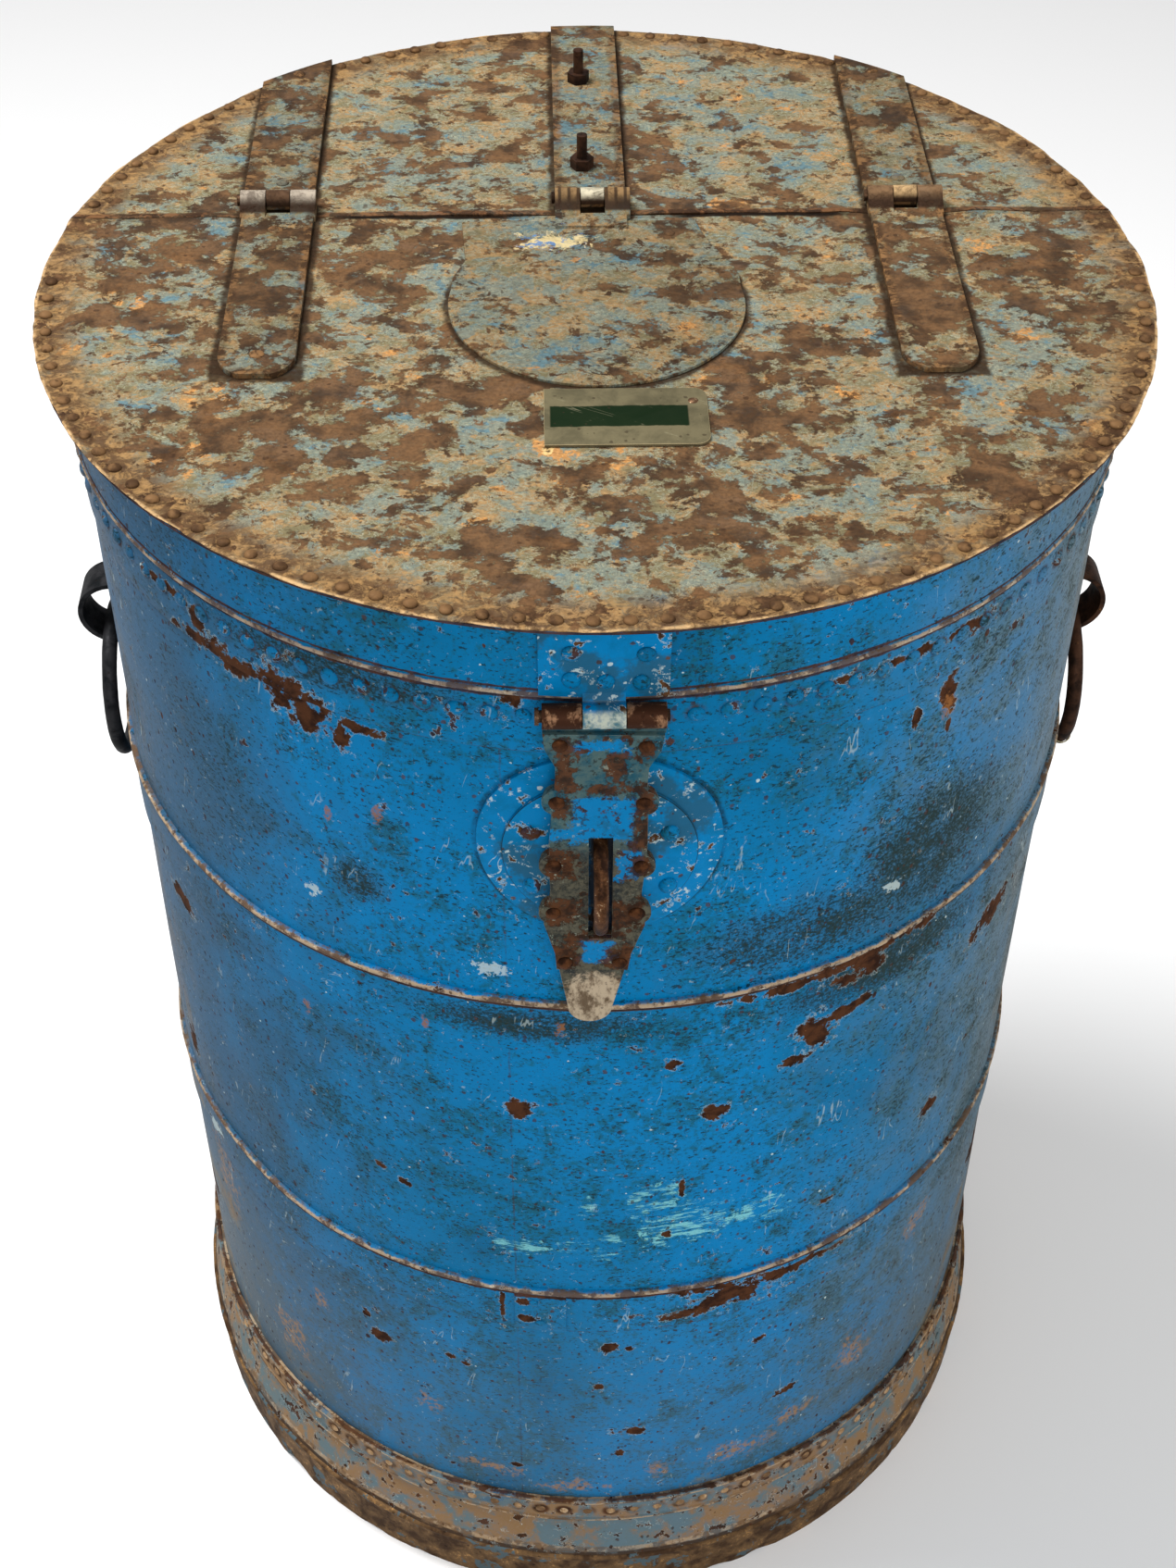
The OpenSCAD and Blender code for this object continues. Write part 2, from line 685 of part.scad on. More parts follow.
// Skirt strip with a flange turned out under the lid's edge and a wired lower edge
module lid_skirt() {
    wire_r = 2;
    color(sheet) difference() {
        intersection() {
            union() {
                hoop(skirt_r, skirt_t, skirt_z, skirt_h - top_t);
                hoop(flange_r, flange_r - skirt_in, flange_z, flange_t);
                difference() {
                    translate([0, 0, skirt_z + wire_r]) rotate_extrude($fn = 180)
                        translate([skirt_r - 0.6, 0]) circle(r = wire_r, $fn = 16);
                    translate([0, 0, skirt_z - 5]) cylinder(r = skirt_in, h = 15, $fn = 180);
                    difference() {
                        front_slab(hanger_half_w + 1, skirt_z - 5, 20);
                        translate([0, 0, skirt_z - 6]) cylinder(r = skirt_r, h = 22, $fn = 180);
                    }
                }
            }
            before(skirt_end_y, skirt_z - 10, skirt_h + 20);
        }
        rim_holes(lid_rim_angles);
        hanger_holes();
    }
}

module lid_rim_rivets() { rim_rivets(lid_rim_angles); }

// Round plate with a wide tab to the middle hinge
module centre_plate() {
    color(patina) difference() {
        union() {
            translate([0, centre_disc_y, drum_h]) cylinder(r = centre_disc_r, h = centre_t, $fn = 140);
            translate([0, 0, drum_h]) linear_extrude(centre_t) polygon(centre_tab);
            translate([-knuckle_half, hinge_y - 26, drum_h]) cube([strap_w, 14, strap_t]);
            lid_leaf_knuckles(0);
        }
        pin_bore(0);
        centre_rivet_holes(base_rivet[2] + hole_gap);
    }
}
module centre_plate_rivets() {
    color(dark) for (s = [-1, 1]) translate([s * 42, 43, drum_h + centre_t]) rivet(base_rivet, centre_t + top_t);
}

module lid_strap(x) {
    round_r = strap_w / 2 - 2;
    color(dark) difference() {
        union() {
            translate([0, 0, drum_h]) linear_extrude(strap_t) {
                translate([x - strap_w / 2, hinge_y - strap_reach + round_r])
                    square([strap_w, strap_reach - round_r - 9]);
                translate([x, hinge_y - strap_reach + round_r]) intersection() {
                    circle(r = strap_w / 2, $fn = 64);
                    translate([-strap_w / 2, -round_r]) square([strap_w, round_r + 1]);
                }
            }
            lid_leaf_knuckles(x);
        }
        pin_bore(x);
        lid_strap_holes(strap_rivet[2] + hole_gap);
    }
}
module lid_strap_left() { lid_strap(-strap_x); }
module lid_strap_right() { lid_strap(strap_x); }

module lid_strap_rivets() {
    color(rust) for (x = [-strap_x, strap_x], y = strap_bumps)
        translate([x, y, drum_h + strap_t]) rivet(strap_rivet, strap_t + top_t);
}

tag_t = 1.2;
tag_round = 7;
// Blank plate with square corners on the left and round ones on the right
module tag_plate() {
    color("darkkhaki") translate([tag_x - tag_w / 2, tag_y - tag_d / 2, drum_h]) difference() {
        linear_extrude(tag_t) union() {
            square([tag_w - tag_round, tag_d]);
            translate([0, tag_round]) square([tag_w, tag_d - 2 * tag_round]);
            for (y = [tag_round, tag_d - tag_round]) translate([tag_w - tag_round, y]) circle(r = tag_round, $fn = 40);
        }
        translate([-tag_x + tag_w / 2, -tag_y + tag_d / 2, -drum_h]) tag_bore(1.6);
    }
}
module tag_pin() {
    color(dark) translate([tag_hole[0], tag_hole[1], drum_h + tag_t]) rivet([2.6, 0.9, 1.5], tag_t + top_t);
}

// ---- Hasp ----

module hasp_barrel(x0, x1, r) {
    translate([hasp_x + x0, hasp_axis_y, hasp_axis_z]) rotate([0, 90, 0]) cylinder(r = r, h = x1 - x0, $fn = 48);
}

// Plate on the skirt, its tongue rolled into the middle knuckle
module hasp_hanger() {
    front_y = -skirt_r - hanger_t;
    color(sheet) difference() {
        union() {
            intersection() {
                hoop(skirt_r + hanger_t, hanger_t, drum_h - hanger_low_drop, hanger_low_drop - hanger_top_drop);
                front_slab(hanger_half_w, skirt_z, skirt_h);
            }
            difference() {
                translate([hasp_x - hanger_knuckle_half, 0, hasp_axis_z]) rotate([90, 0, 90])
                    linear_extrude(2 * hanger_knuckle_half) polygon([
                        [front_y + 2.9, 9], [front_y, 9], [front_y - 1.6, hasp_knuckle_r - 0.7],
                        [hasp_axis_y, hasp_knuckle_r - 0.4], [hasp_axis_y, 0], [front_y + 0.8, -1],
                        [front_y + 2.9, 3]
                    ]);
                translate([0, 0, skirt_z - skirt_h]) cylinder(r = skirt_r, h = 2 * skirt_h, $fn = 180);
            }
            hasp_barrel(-hanger_knuckle_half, hanger_knuckle_half, hasp_knuckle_r);
        }
        hasp_barrel(-2 * hasp_half_w, 2 * hasp_half_w, hasp_pin_r + pin_gap);
        hanger_holes();
    }
}

module hasp_hanger_rivets() {
    color(dark) for (p = hanger_rivet_places)
        outward(across(hasp_x + p[0], skirt_r), skirt_r + hanger_t, drum_h - p[1])
            rivet(hanger_rivet, hanger_t + skirt_t, 0);
}

module hasp_pin() {
    color(rust) {
        hasp_barrel(-hasp_half_w - 1.5, hasp_half_w + 1.5, hasp_pin_r);
        hasp_barrel(-hasp_half_w - 3.4, -hasp_half_w - 1.4, hasp_pin_r + 1.2);
    }
}

// Runs its child from a front view (X across, Y up from the pin) into a plate of the hasp
module hasp_sheet(back_y, lean) {
    translate([hasp_x, back_y, hasp_axis_z]) rotate([90, 0, 0]) linear_extrude(hasp_t) rotate([0, 0, lean]) children();
}

slot_half = staple_bar_r + 2.3;
slot_top = staple_z + staple_pitch / 2 + staple_bar_r + 5.5;
slot_low = staple_z - staple_pitch / 2 - staple_bar_r - 4.5;
module hasp_slot() {
    translate([staple_x - slot_half, hasp_front_y - cut, slot_low])
        cube([2 * slot_half, 2 * hasp_t + 2 * cut, slot_top - slot_low]);
}
module hasp_rivet_bores() {
    translate([hasp_x, hasp_front_y - cut, hasp_axis_z]) rotate([0, hasp_lean, 0])
        for (p = hasp_rivet_rows, s = [-1, 1])
            translate([s * p[1], 0, p[0]]) rotate([-90, 0, 0])
                cylinder(r = base_rivet[2] + hole_gap, h = 2 * hasp_t + 2 * cut, $fn = 20);
}

shoulder = -hasp_knuckle_r - 1;      // top of the hasp's sheets, below the middle knuckle
hasp_neck = hasp_half_w - 7.4;       // both sheets between their lobes
hasp_lobe_r = 8.2;                   // a lobe of the outer sheet, round a rivet

// Round lobes at the three middle pairs of rivets
module hasp_lobes(back_y, r) {
    for (i = [1 : 3], s = [-1, 1])
        hasp_sheet(back_y, -hasp_lean)
            translate([s * (hasp_rivet_rows[i][1] - 1), hasp_rivet_rows[i][0]]) circle(r = r, $fn = 40);
}

// Inner strap with the two outer knuckles and the bare rounded tip
module hasp_strap() {
    tip_r = 11.5;
    tip_z = -hasp_len + tip_r;
    color(rust) difference() {
        union() {
            for (s = [-1, 1]) {
                a = min(s * (hanger_knuckle_half + side_gap), s * hasp_half_w);
                w = hasp_half_w - hanger_knuckle_half - side_gap;
                hasp_barrel(a, a + w, hasp_knuckle_r);
                hasp_sheet(hasp_back_y, 0) translate([a, shoulder - 4]) square([w, -shoulder + 4]);
            }
            hasp_sheet(hasp_back_y, -hasp_lean) polygon([
                [-hasp_half_w + 0.4, shoulder], [hasp_half_w - 0.4, shoulder], [hasp_half_w - 3.5, -20],
                [hasp_neck, -31], [hasp_neck, -148], [18.6, -166], [14.5, -188], [tip_r, tip_z],
                [-tip_r, tip_z], [-14.5, -188], [-18.6, -166], [-hasp_neck, -148], [-hasp_neck, -31],
                [-hasp_half_w + 3.5, -20]
            ]);
            hasp_lobes(hasp_back_y, hasp_lobe_r - 0.8);
            hasp_sheet(hasp_back_y, -hasp_lean) translate([0, tip_z]) circle(r = tip_r, $fn = 48);
        }
        hasp_barrel(-2 * hasp_half_w, 2 * hasp_half_w, hasp_pin_r + pin_gap);
        hasp_slot();
        hasp_rivet_bores();
    }
}

// Scalloped outer plate, a lobe at each pair of rivets
module hasp_overlay() {
    front = hasp_back_y - hasp_t;
    color(sheet) difference() {
        union() {
            hasp_sheet(front, -hasp_lean) polygon([
                [-hasp_half_w + 0.4, -9.5], [hasp_half_w - 0.4, -9.5], [27.5, -19], [22.2, -30], [22, -40],
                [23.6, -68], [24, -80], [23.2, -106], [22.6, -116], [25.5, -138], [19.4, -160],
                [18.2, -172], [-18.2, -172], [-19.4, -160], [-25.5, -138], [-22.6, -116],
                [-23.2, -106], [-24, -80], [-23.6, -68], [-22, -40], [-22.2, -30], [-27.5, -19]
            ]);
            hasp_lobes(front, hasp_lobe_r);
        }
        hasp_slot();
        hasp_rivet_bores();
    }
}

module hasp_rivets() {
    color(rust) translate([hasp_x, hasp_front_y, hasp_axis_z]) rotate([0, hasp_lean, 0])
        for (p = hasp_rivet_rows, s = [-1, 1])
            translate([s * p[1], 0, p[0]]) rotate([90, 0, 0]) rivet([4.2, 2, base_rivet[2]], 2 * hasp_t, 0);
}

body_shell();
mouth_ring();
collar_band();
collar_rivets();
upper_hoop();
lower_hoop();
lower_hoop_rivets();
base_hoop();
base_rivets();
base_skirt();
base_skirt_rivets();
foot_ring();
bottom_head();
rear_top_plate();
rear_rim_angle();
rear_rim_rivets();
rear_strap_left();
rear_strap_middle();
rear_strap_right();
rear_strap_rivets();
strap_bolts();
strap_nuts();
hinge_pins();
handle_eye_left();
handle_eye_right();
handle_eye_rivets();
staple_plate_outer();
staple_plate_inner();
staple_plate_rivets();
staple();
lid_plate();
lid_skirt();
lid_rim_rivets();
centre_plate();
centre_plate_rivets();
lid_strap_left();
lid_strap_right();
lid_strap_rivets();
tag_plate();
tag_pin();
hasp_hanger();
hasp_hanger_rivets();
hasp_pin();
hasp_strap();
hasp_overlay();
hasp_rivets();
ring_left();
ring_right();
ring_binding();
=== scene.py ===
import math
import bpy
import bmesh
from mathutils import Matrix, Vector, noise


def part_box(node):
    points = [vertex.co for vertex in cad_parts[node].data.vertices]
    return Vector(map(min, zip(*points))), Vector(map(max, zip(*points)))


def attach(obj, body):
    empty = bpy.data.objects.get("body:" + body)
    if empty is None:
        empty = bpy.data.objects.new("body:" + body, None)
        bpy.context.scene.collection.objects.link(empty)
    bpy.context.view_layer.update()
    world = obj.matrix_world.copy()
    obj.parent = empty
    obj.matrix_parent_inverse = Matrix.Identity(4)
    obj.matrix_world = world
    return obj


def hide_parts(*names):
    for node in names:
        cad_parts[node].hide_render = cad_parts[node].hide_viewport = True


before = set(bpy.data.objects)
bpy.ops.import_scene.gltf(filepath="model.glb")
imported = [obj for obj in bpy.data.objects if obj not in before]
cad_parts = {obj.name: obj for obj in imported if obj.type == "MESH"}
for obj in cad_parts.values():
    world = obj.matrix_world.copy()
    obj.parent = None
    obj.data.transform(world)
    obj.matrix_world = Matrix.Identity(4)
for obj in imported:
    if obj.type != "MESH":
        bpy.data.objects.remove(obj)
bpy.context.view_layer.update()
print("frame loaded:", len(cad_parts), "CAD nodes")

# sizes in metres, read from the frame
mm = 0.001
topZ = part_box("lid_plate")[1][2]
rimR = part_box("lid_plate")[1][0]
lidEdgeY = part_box("lid_plate")[1][1]
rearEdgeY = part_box("rear_top_plate")[0][1]
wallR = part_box("body_shell")[1][0]
wallLow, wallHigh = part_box("body_shell")[0][2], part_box("body_shell")[1][2]
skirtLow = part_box("lid_skirt")[0][2]
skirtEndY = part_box("lid_skirt")[1][1]
collarLow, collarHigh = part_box("collar_band")[0][2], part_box("collar_band")[1][2]
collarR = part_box("collar_band")[1][0]
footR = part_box("base_skirt")[1][0]
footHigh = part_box("base_skirt")[0][2]
baseHoopLow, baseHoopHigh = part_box("base_hoop")[0][2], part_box("base_hoop")[1][2]
rimRivetR = rimR - 7 * mm
rivetCount = 110
baseRivetCount = 112
collarRivetZ = collarLow + 23 * mm


def drop(millimetres):  # a height, given by its depth below the top face
    return topZ - millimetres * mm


def middle(node):
    low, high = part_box(node)
    return Vector([(low[i] + high[i]) / 2 for i in range(3)])


def fillInputs(tree, made, inputs):
    for key, value in inputs.items():
        if isinstance(value, bpy.types.NodeSocket):
            tree.links.new(value, made.inputs[key])
        else:
            made.inputs[key].default_value = value


def addNode(tree, kind, inputs=None, **settings):
    made = tree.nodes.new(kind)
    for key, value in settings.items():
        setattr(made, key, value)
    fillInputs(tree, made, inputs or {})
    return made


def calc(tree, operation, a, b=0.0, clamp=False):
    return addNode(tree, "ShaderNodeMath", {0: a, 1: b}, operation=operation, use_clamp=clamp).outputs[0]


def plus(tree, a, b):
    return calc(tree, "ADD", a, b)


def minus(tree, a, b, clamp=False):
    return calc(tree, "SUBTRACT", a, b, clamp)


def times(tree, a, b):
    return calc(tree, "MULTIPLY", a, b)


def share(tree, a, b):
    return calc(tree, "DIVIDE", a, b)


def absolute(tree, a):
    return calc(tree, "ABSOLUTE", a)


def root(tree, a):
    return calc(tree, "SQRT", a)


def gap(tree, a, b):  # how far two values lie apart
    return absolute(tree, minus(tree, a, b))


def sway(tree, noise, size):  # a noise turned into a shift to both sides
    return times(tree, minus(tree, noise, 0.5), size)


def ramp(tree, value, low, high, start=0.0, end=1.0):
    made = addNode(tree, "ShaderNodeMapRange", interpolation_type="SMOOTHSTEP")
    fillInputs(tree, made, {"Value": value, "From Min": low, "From Max": high, "To Min": start,
            "To Max": end})
    return made.outputs["Result"]


def mixColour(tree, factor, a, b, blend="MIX"):
    made = addNode(tree, "ShaderNodeMix", data_type="RGBA", blend_type=blend, clamp_factor=True)
    a = a if isinstance(a, bpy.types.NodeSocket) else (*a[:3], 1)
    b = b if isinstance(b, bpy.types.NodeSocket) else (*b[:3], 1)
    fillInputs(tree, made, {0: factor, 6: a, 7: b})
    return made.outputs[2]


def noiseAt(tree, vector, scale, detail=4.0, rough=0.55, distort=0.0):
    inputs = {"Vector": vector, "Scale": scale, "Detail": detail, "Roughness": rough, "Distortion": distort}
    return addNode(tree, "ShaderNodeTexNoise", inputs).outputs["Fac"]


def stretched(tree, vector, scale=(1, 1, 1), shift=(0, 0, 0), turn=(0, 0, 0)):
    inputs = {"Vector": vector, "Location": shift, "Rotation": turn, "Scale": scale}
    return addNode(tree, "ShaderNodeMapping", inputs).outputs["Vector"]


def biggest(tree, *masks):
    result = masks[0]
    for mask in masks[1:]:
        result = calc(tree, "MAXIMUM", result, mask)
    return result


def axes(tree, vector):
    return addNode(tree, "ShaderNodeSeparateXYZ", {0: vector}).outputs


def attribute(tree, name):
    return addNode(tree, "ShaderNodeAttribute", attribute_name=name).outputs["Fac"]


def rgb(*screen):  # a colour as a screen shows it, 0 to 255, to linear light
    return tuple(c / 3294.6 if c < 10.3 else ((c / 255 + 0.055) / 1.055) ** 2.4 for c in screen)


def newGroup(name, inputs, outputs):
    group = bpy.data.node_groups.new(name, "ShaderNodeTree")
    kinds = {"value": "NodeSocketFloat", "vector": "NodeSocketVector", "colour": "NodeSocketColor"}
    for label, kind, value in inputs:
        plug = group.interface.new_socket(name=label, in_out="INPUT", socket_type=kinds[kind])
        if value is not None:
            plug.default_value = value
    for label, kind in outputs:
        group.interface.new_socket(name=label, in_out="OUTPUT", socket_type=kinds[kind])
    inside = group.nodes.new("NodeGroupInput").outputs
    result = group.nodes.new("NodeGroupOutput").inputs
    return group, inside, result


def useGroup(tree, group, inputs):
    made = addNode(tree, "ShaderNodeGroup", node_tree=group)
    fillInputs(tree, made, inputs)
    return made.outputs


def makeWrap():  # where a point lies round the drum: angle from the front in degrees, and height
    group, inside, result = newGroup("wrapRound", [("Position", "vector", None)],
                                     [("Angle", "value"), ("Height", "value"), ("Radius", "value")])
    parts = axes(group, inside["Position"])
    turn = calc(group, "ARCTAN2", parts[0], times(group, parts[1], -1.0))
    flat = plus(group, times(group, parts[0], parts[0]), times(group, parts[1], parts[1]))
    group.links.new(times(group, turn, 180 / math.pi), result["Angle"])
    group.links.new(parts[2], result["Height"])
    group.links.new(root(group, flat), result["Radius"])
    return group


def makeSpot():  # a ragged oval patch on the wall
    group, inside, result = newGroup("wallSpot", [("Angle", "value", 0.0), ("Height", "value", 0.0),
            ("Ragged", "value", 0.5), ("At Angle", "value", 0.0), ("At Height", "value", 0.0),
            ("Half Width", "value", 0.02), ("Half Height", "value", 0.02), ("Raggedness", "value", 2.0),
            ("Softness", "value", 0.08)], [("Mask", "value")])
    across = times(group, minus(group, inside["Angle"], inside["At Angle"]), wallR * math.pi / 180)
    across = share(group, across, inside["Half Width"])
    up = share(group, minus(group, inside["Height"], inside["At Height"]), inside["Half Height"])
    reach = root(group, plus(group, times(group, across, across), times(group, up, up)))
    wander = sway(group, inside["Ragged"], inside["Raggedness"])
    high = plus(group, 1.0, inside["Softness"])
    low = minus(group, 1.0, inside["Softness"])
    group.links.new(ramp(group, plus(group, reach, wander), high, low), result["Mask"])
    return group


def makeRivetRing():  # dirt caught in a ring round each rivet of a row
    group, inside, result = newGroup("rivetDirt", [("Angle", "value", 0.0), ("Across", "value", 0.0),
            ("Count", "value", 110.0), ("Row Radius", "value", 0.284), ("Ring", "value", 0.0055)],
        [("Mask", "value")])
    step = times(group, inside["Angle"], share(group, inside["Count"], 360.0))
    along = minus(group, calc(group, "FRACT", step), 0.5)
    pitch = share(group, times(group, inside["Row Radius"], 2 * math.pi), inside["Count"])
    along = times(group, along, pitch)
    reach = root(group, plus(group, times(group, along, along),
                                     times(group, inside["Across"], inside["Across"])))
    group.links.new(ramp(group, reach, times(group, inside["Ring"], 1.35), times(group, inside["Ring"], 0.8)),
                    result["Mask"])
    return group


def makeRustTone():  # browns of old rust, from near black to ochre
    group, inside, result = newGroup("rustTone", [("Position", "vector", None), ("Scale", "value", 60.0),
            ("Dark", "colour", (*rgb(46, 31, 22), 1)), ("Mid", "colour", (*rgb(92, 62, 38), 1)),
            ("Warm", "colour", (*rgb(176, 118, 62), 1)), ("Warmth", "value", 0.5)],
        [("Colour", "colour"), ("Height", "value")])
    broad = noiseAt(group, inside["Position"], inside["Scale"], 7.0, 0.62, 0.3)
    grit = noiseAt(group, inside["Position"], times(group, inside["Scale"], 7.0), 5.0, 0.7)
    tone = mixColour(group, ramp(group, broad, 0.36, 0.6), inside["Dark"], inside["Mid"])
    warmAt = minus(group, 0.86, times(group, inside["Warmth"], 0.3))
    warmth = ramp(group, plus(group, times(group, grit, 0.55), times(group, broad, 0.5)),
                  minus(group, warmAt, 0.06), plus(group, warmAt, 0.05))
    group.links.new(mixColour(group, warmth, tone, inside["Warm"]), result["Colour"])
    group.links.new(plus(group, times(group, broad, 0.6), times(group, grit, 0.4)), result["Height"])
    return group


def makeChips():  # paint broken away: the bare patch, and the pale edge round it
    group, inside, result = newGroup("paintChips", [("Position", "vector", None), ("Scale", "value", 30.0),
            ("Amount", "value", 0.0), ("Rim", "value", 0.02)], [("Bare", "value"), ("Rim", "value")])
    shape = noiseAt(group, inside["Position"], inside["Scale"], 9.0, 0.66, 0.2)
    level = minus(group, 0.78, times(group, inside["Amount"], 0.5))
    bare = ramp(group, shape, level, plus(group, level, 0.012))
    low = minus(group, level, inside["Rim"])
    wide = ramp(group, shape, low, plus(group, low, 0.012))
    group.links.new(bare, result["Bare"])
    group.links.new(minus(group, wide, bare, True), result["Rim"])
    return group


def makeScratches():  # thin broken lines along the first axis of the vector
    group, inside, result = newGroup("thinScratches", [("Position", "vector", None),
            ("Scale", "value", 60.0), ("Amount", "value", 0.3)], [("Mask", "value")])
    line = noiseAt(group, stretched(group, inside["Position"], (0.06, 1, 1)), inside["Scale"], 3.0, 0.5, 0.15)
    thin = ramp(group, gap(group, line, 0.5), 0.011, 0.002)
    where = noiseAt(group, inside["Position"], times(group, inside["Scale"], 0.5), 4.0, 0.6)
    level = minus(group, 0.75, times(group, inside["Amount"], 0.4))
    group.links.new(times(group, thin, ramp(group, where, level, plus(group, level, 0.08))), result["Mask"])
    return group


def makeSpecks():  # round specks of very mixed size
    group, inside, result = newGroup("specks", [("Position", "vector", None), ("Scale", "value", 200.0),
            ("Amount", "value", 0.3)], [("Mask", "value")])
    cells = addNode(group, "ShaderNodeTexVoronoi", {"Vector": inside["Position"], "Scale": inside["Scale"],
            "Randomness": 1.0})
    chance = axes(group, cells.outputs["Color"])[0]
    size = times(group, minus(group, chance, minus(group, 1.0, inside["Amount"]), True), 1.1)
    wobble = times(group, minus(group, noiseAt(group, inside["Position"],
                times(group, inside["Scale"], 2.2), 2.0), 0.5), 0.5)
    group.links.new(ramp(group, plus(group, cells.outputs["Distance"], wobble), size,
            times(group, size, 0.7)), result["Mask"])
    return group


def makePlateHalo():  # bands just outside and just inside the outline of a flat piece seen from above
    group, inside, result = newGroup("plateHalo", [("Position", "vector", None), ("Centre", "vector", None),
            ("Half X", "value", 0.02), ("Half Y", "value", 0.08), ("Round", "value", 0.0),
            ("Wobble", "value", 0.0)], [("Outside", "value"), ("Inside", "value")])
    off = addNode(group, "ShaderNodeVectorMath", {0: inside["Position"], 1: inside["Centre"]},
        operation="SUBTRACT").outputs[0]
    parts = axes(group, off)
    x, y = absolute(group, parts[0]), absolute(group, parts[1])
    square = biggest(group, minus(group, x, inside["Half X"]), minus(group, y, inside["Half Y"]))
    ring = root(group, plus(group, times(group, x, x), times(group, y, y)))
    ring = minus(group, ring, inside["Half X"])
    away = addNode(group, "ShaderNodeMix", {0: inside["Round"], 2: square, 3: ring},
        data_type="FLOAT").outputs[0]
    group.links.new(ramp(group, plus(group, away, inside["Wobble"]), 4.5 * mm, 1.5 * mm), result["Outside"])
    group.links.new(ramp(group, plus(group, away, inside["Wobble"]), -6.5 * mm, -3.0 * mm), result["Inside"])
    return group


def makeBlock():  # a ragged upright block on the hasp
    group, inside, result = newGroup("haspBlock", [("X", "value", 0.0), ("Height", "value", 0.0),
            ("Ragged", "value", 0.5), ("At X", "value", 0.0), ("At Height", "value", 0.0),
            ("Half Width", "value", 0.02), ("Half Height", "value", 0.02)], [("Mask", "value")])
    across = minus(group, gap(group, inside["X"], inside["At X"]),
                  inside["Half Width"])
    up = minus(group, gap(group, inside["Height"], inside["At Height"]),
              inside["Half Height"])
    wander = sway(group, inside["Ragged"], 30 * mm)
    reach = plus(group, calc(group, "MAXIMUM", across, up), wander)
    group.links.new(ramp(group, reach, 0.8 * mm, -0.8 * mm), result["Mask"])
    return group


def maskOf(tree, group, vector, scale, amount):
    return useGroup(tree, group, {"Position": vector, "Scale": scale, "Amount": amount})["Mask"]


def rustAt(tree, place, scale, warmth, dark, mid, warm):
    return useGroup(tree, rustTone, {
        "Position": place, "Scale": scale, "Warmth": warmth, "Dark": (*dark, 1), "Mid": (*mid, 1),
        "Warm": (*warm, 1)})


wrapRound = makeWrap()
haspBlock = makeBlock()
plateHalo = makePlateHalo()
wallSpot = makeSpot()
rivetDirt = makeRivetRing()
rustTone = makeRustTone()
paintChips = makeChips()
thinScratches = makeScratches()
specks = makeSpecks()
print("shader groups made")


def startMaterial(name):
    made = bpy.data.materials.new(name)
    made.use_nodes = True
    tree = made.node_tree
    tree.nodes.clear()
    shader = addNode(tree, "ShaderNodeBsdfPrincipled")
    addNode(tree, "ShaderNodeOutputMaterial", {"Surface": shader.outputs["BSDF"]})
    return made, tree, shader, addNode(tree, "ShaderNodeTexCoord").outputs["Object"]


def finishMaterial(tree, shader, colour, rough, height, strength=0.5, depth=0.0006, metal=0.0):
    bump = addNode(tree, "ShaderNodeBump", {"Height": height, "Strength": strength, "Distance": depth})
    fillInputs(tree, shader, {"Base Color": colour, "Roughness": rough, "Metallic": metal,
            "Normal": bump.outputs["Normal"], "Specular IOR Level": 0.04})


bluePaintLook = {
    "azure": rgb(2, 110, 160),
    "bright": rgb(2, 122, 182),
    "deep": rgb(4, 78, 118),
    "teal": rgb(20, 88, 104),
    # violet: painted shade and sheen for the drum's left side
    "violet": rgb(44, 84, 114),
    "grey": rgb(100, 116, 118),
    "brown": rgb(116, 96, 70),
    "grime": rgb(46, 56, 50),
    "soot": rgb(58, 72, 68),
    "grain": rgb(18, 46, 52),
    "pale": rgb(196, 212, 210),
    "cyan": rgb(126, 200, 206),
    "metal": rgb(176, 152, 122),
}

# Patches: angle in degrees, then drop, half width and half height in millimetres
rustPatches = [(-41, 85, 20, 7), (-34.5, 86, 14, 10), (-30.5, 98, 12, 12), (-27.5, 105, 5, 8),
    (-25, 95, 13, 3.5), (-46, 84, 12, 4), (-45.3, 70, 4, 9), (-50, 64, 16, 3), (37.4, 102, 5, 12),
    (38, 128, 2, 9), (33, 63, 40, 3), (22, 277, 34, 3), (32, 274, 38, 4.5), (30.5, 281, 9, 9),
    (27, 288, 8, 4), (14, 545, 22, 3), (26, 549, 34, 3), (33, 112, 2, 6), (17, 560, 26, 9),
    (22, 552, 18, 5), (11, 566, 12, 5), (25, 325, 10, 12), (30, 316, 16, 5), (22, 345, 6, 6),
    (-9.5, 362, 6, 8), (13, 372, 6, 6), (1, 600, 5, 4), (4, 700, 10, 4), (-30, 640, 8, 5), (26, 700, 9, 5),
    (-9.4, 55.5, 5, 3.2), (46, 470, 9, 6), (55, 330, 22, 8), (-60, 330, 12, 8), (-68, 500, 9, 14),
    (70, 640, 16, 18), (-75, 690, 22, 12), (7, 325, 5, 3.5), (33, 112, 2.5, 5), (-19.5, 632, 4, 2.6),
    (-18, 636, 4, 2), (-27.7, 451, 4, 2.6), (-24.1, 459, 4, 3), (-32.2, 622, 2.5, 4), (3.7, 601, 3, 2.6),
    (21.2, 622, 4, 3), (2.5, 727, 4, 4), (-0.2, 644, 3, 4), (-11.5, 749, 6, 2), (9.4, 440, 1.6, 8),
    (7.8, 484, 3, 3), (28.7, 496, 5, 3), (-12.4, 558, 1.8, 16), (-9.6, 549, 6, 2.6), (-9.2, 566, 5, 2.6),
    (150, 320, 26, 12), (-140, 560, 18, 16), (118, 430, 10, 20), (-110, 240, 16, 12)]
orangePatches = [(-24, 152, 3.2, 6), (-30, 165, 2.4, 6), (37.4, 114, 5, 8), (-5, 290, 2.6, 6),
    (-36, 330, 2.2, 6), (-20, 300, 2, 5)]
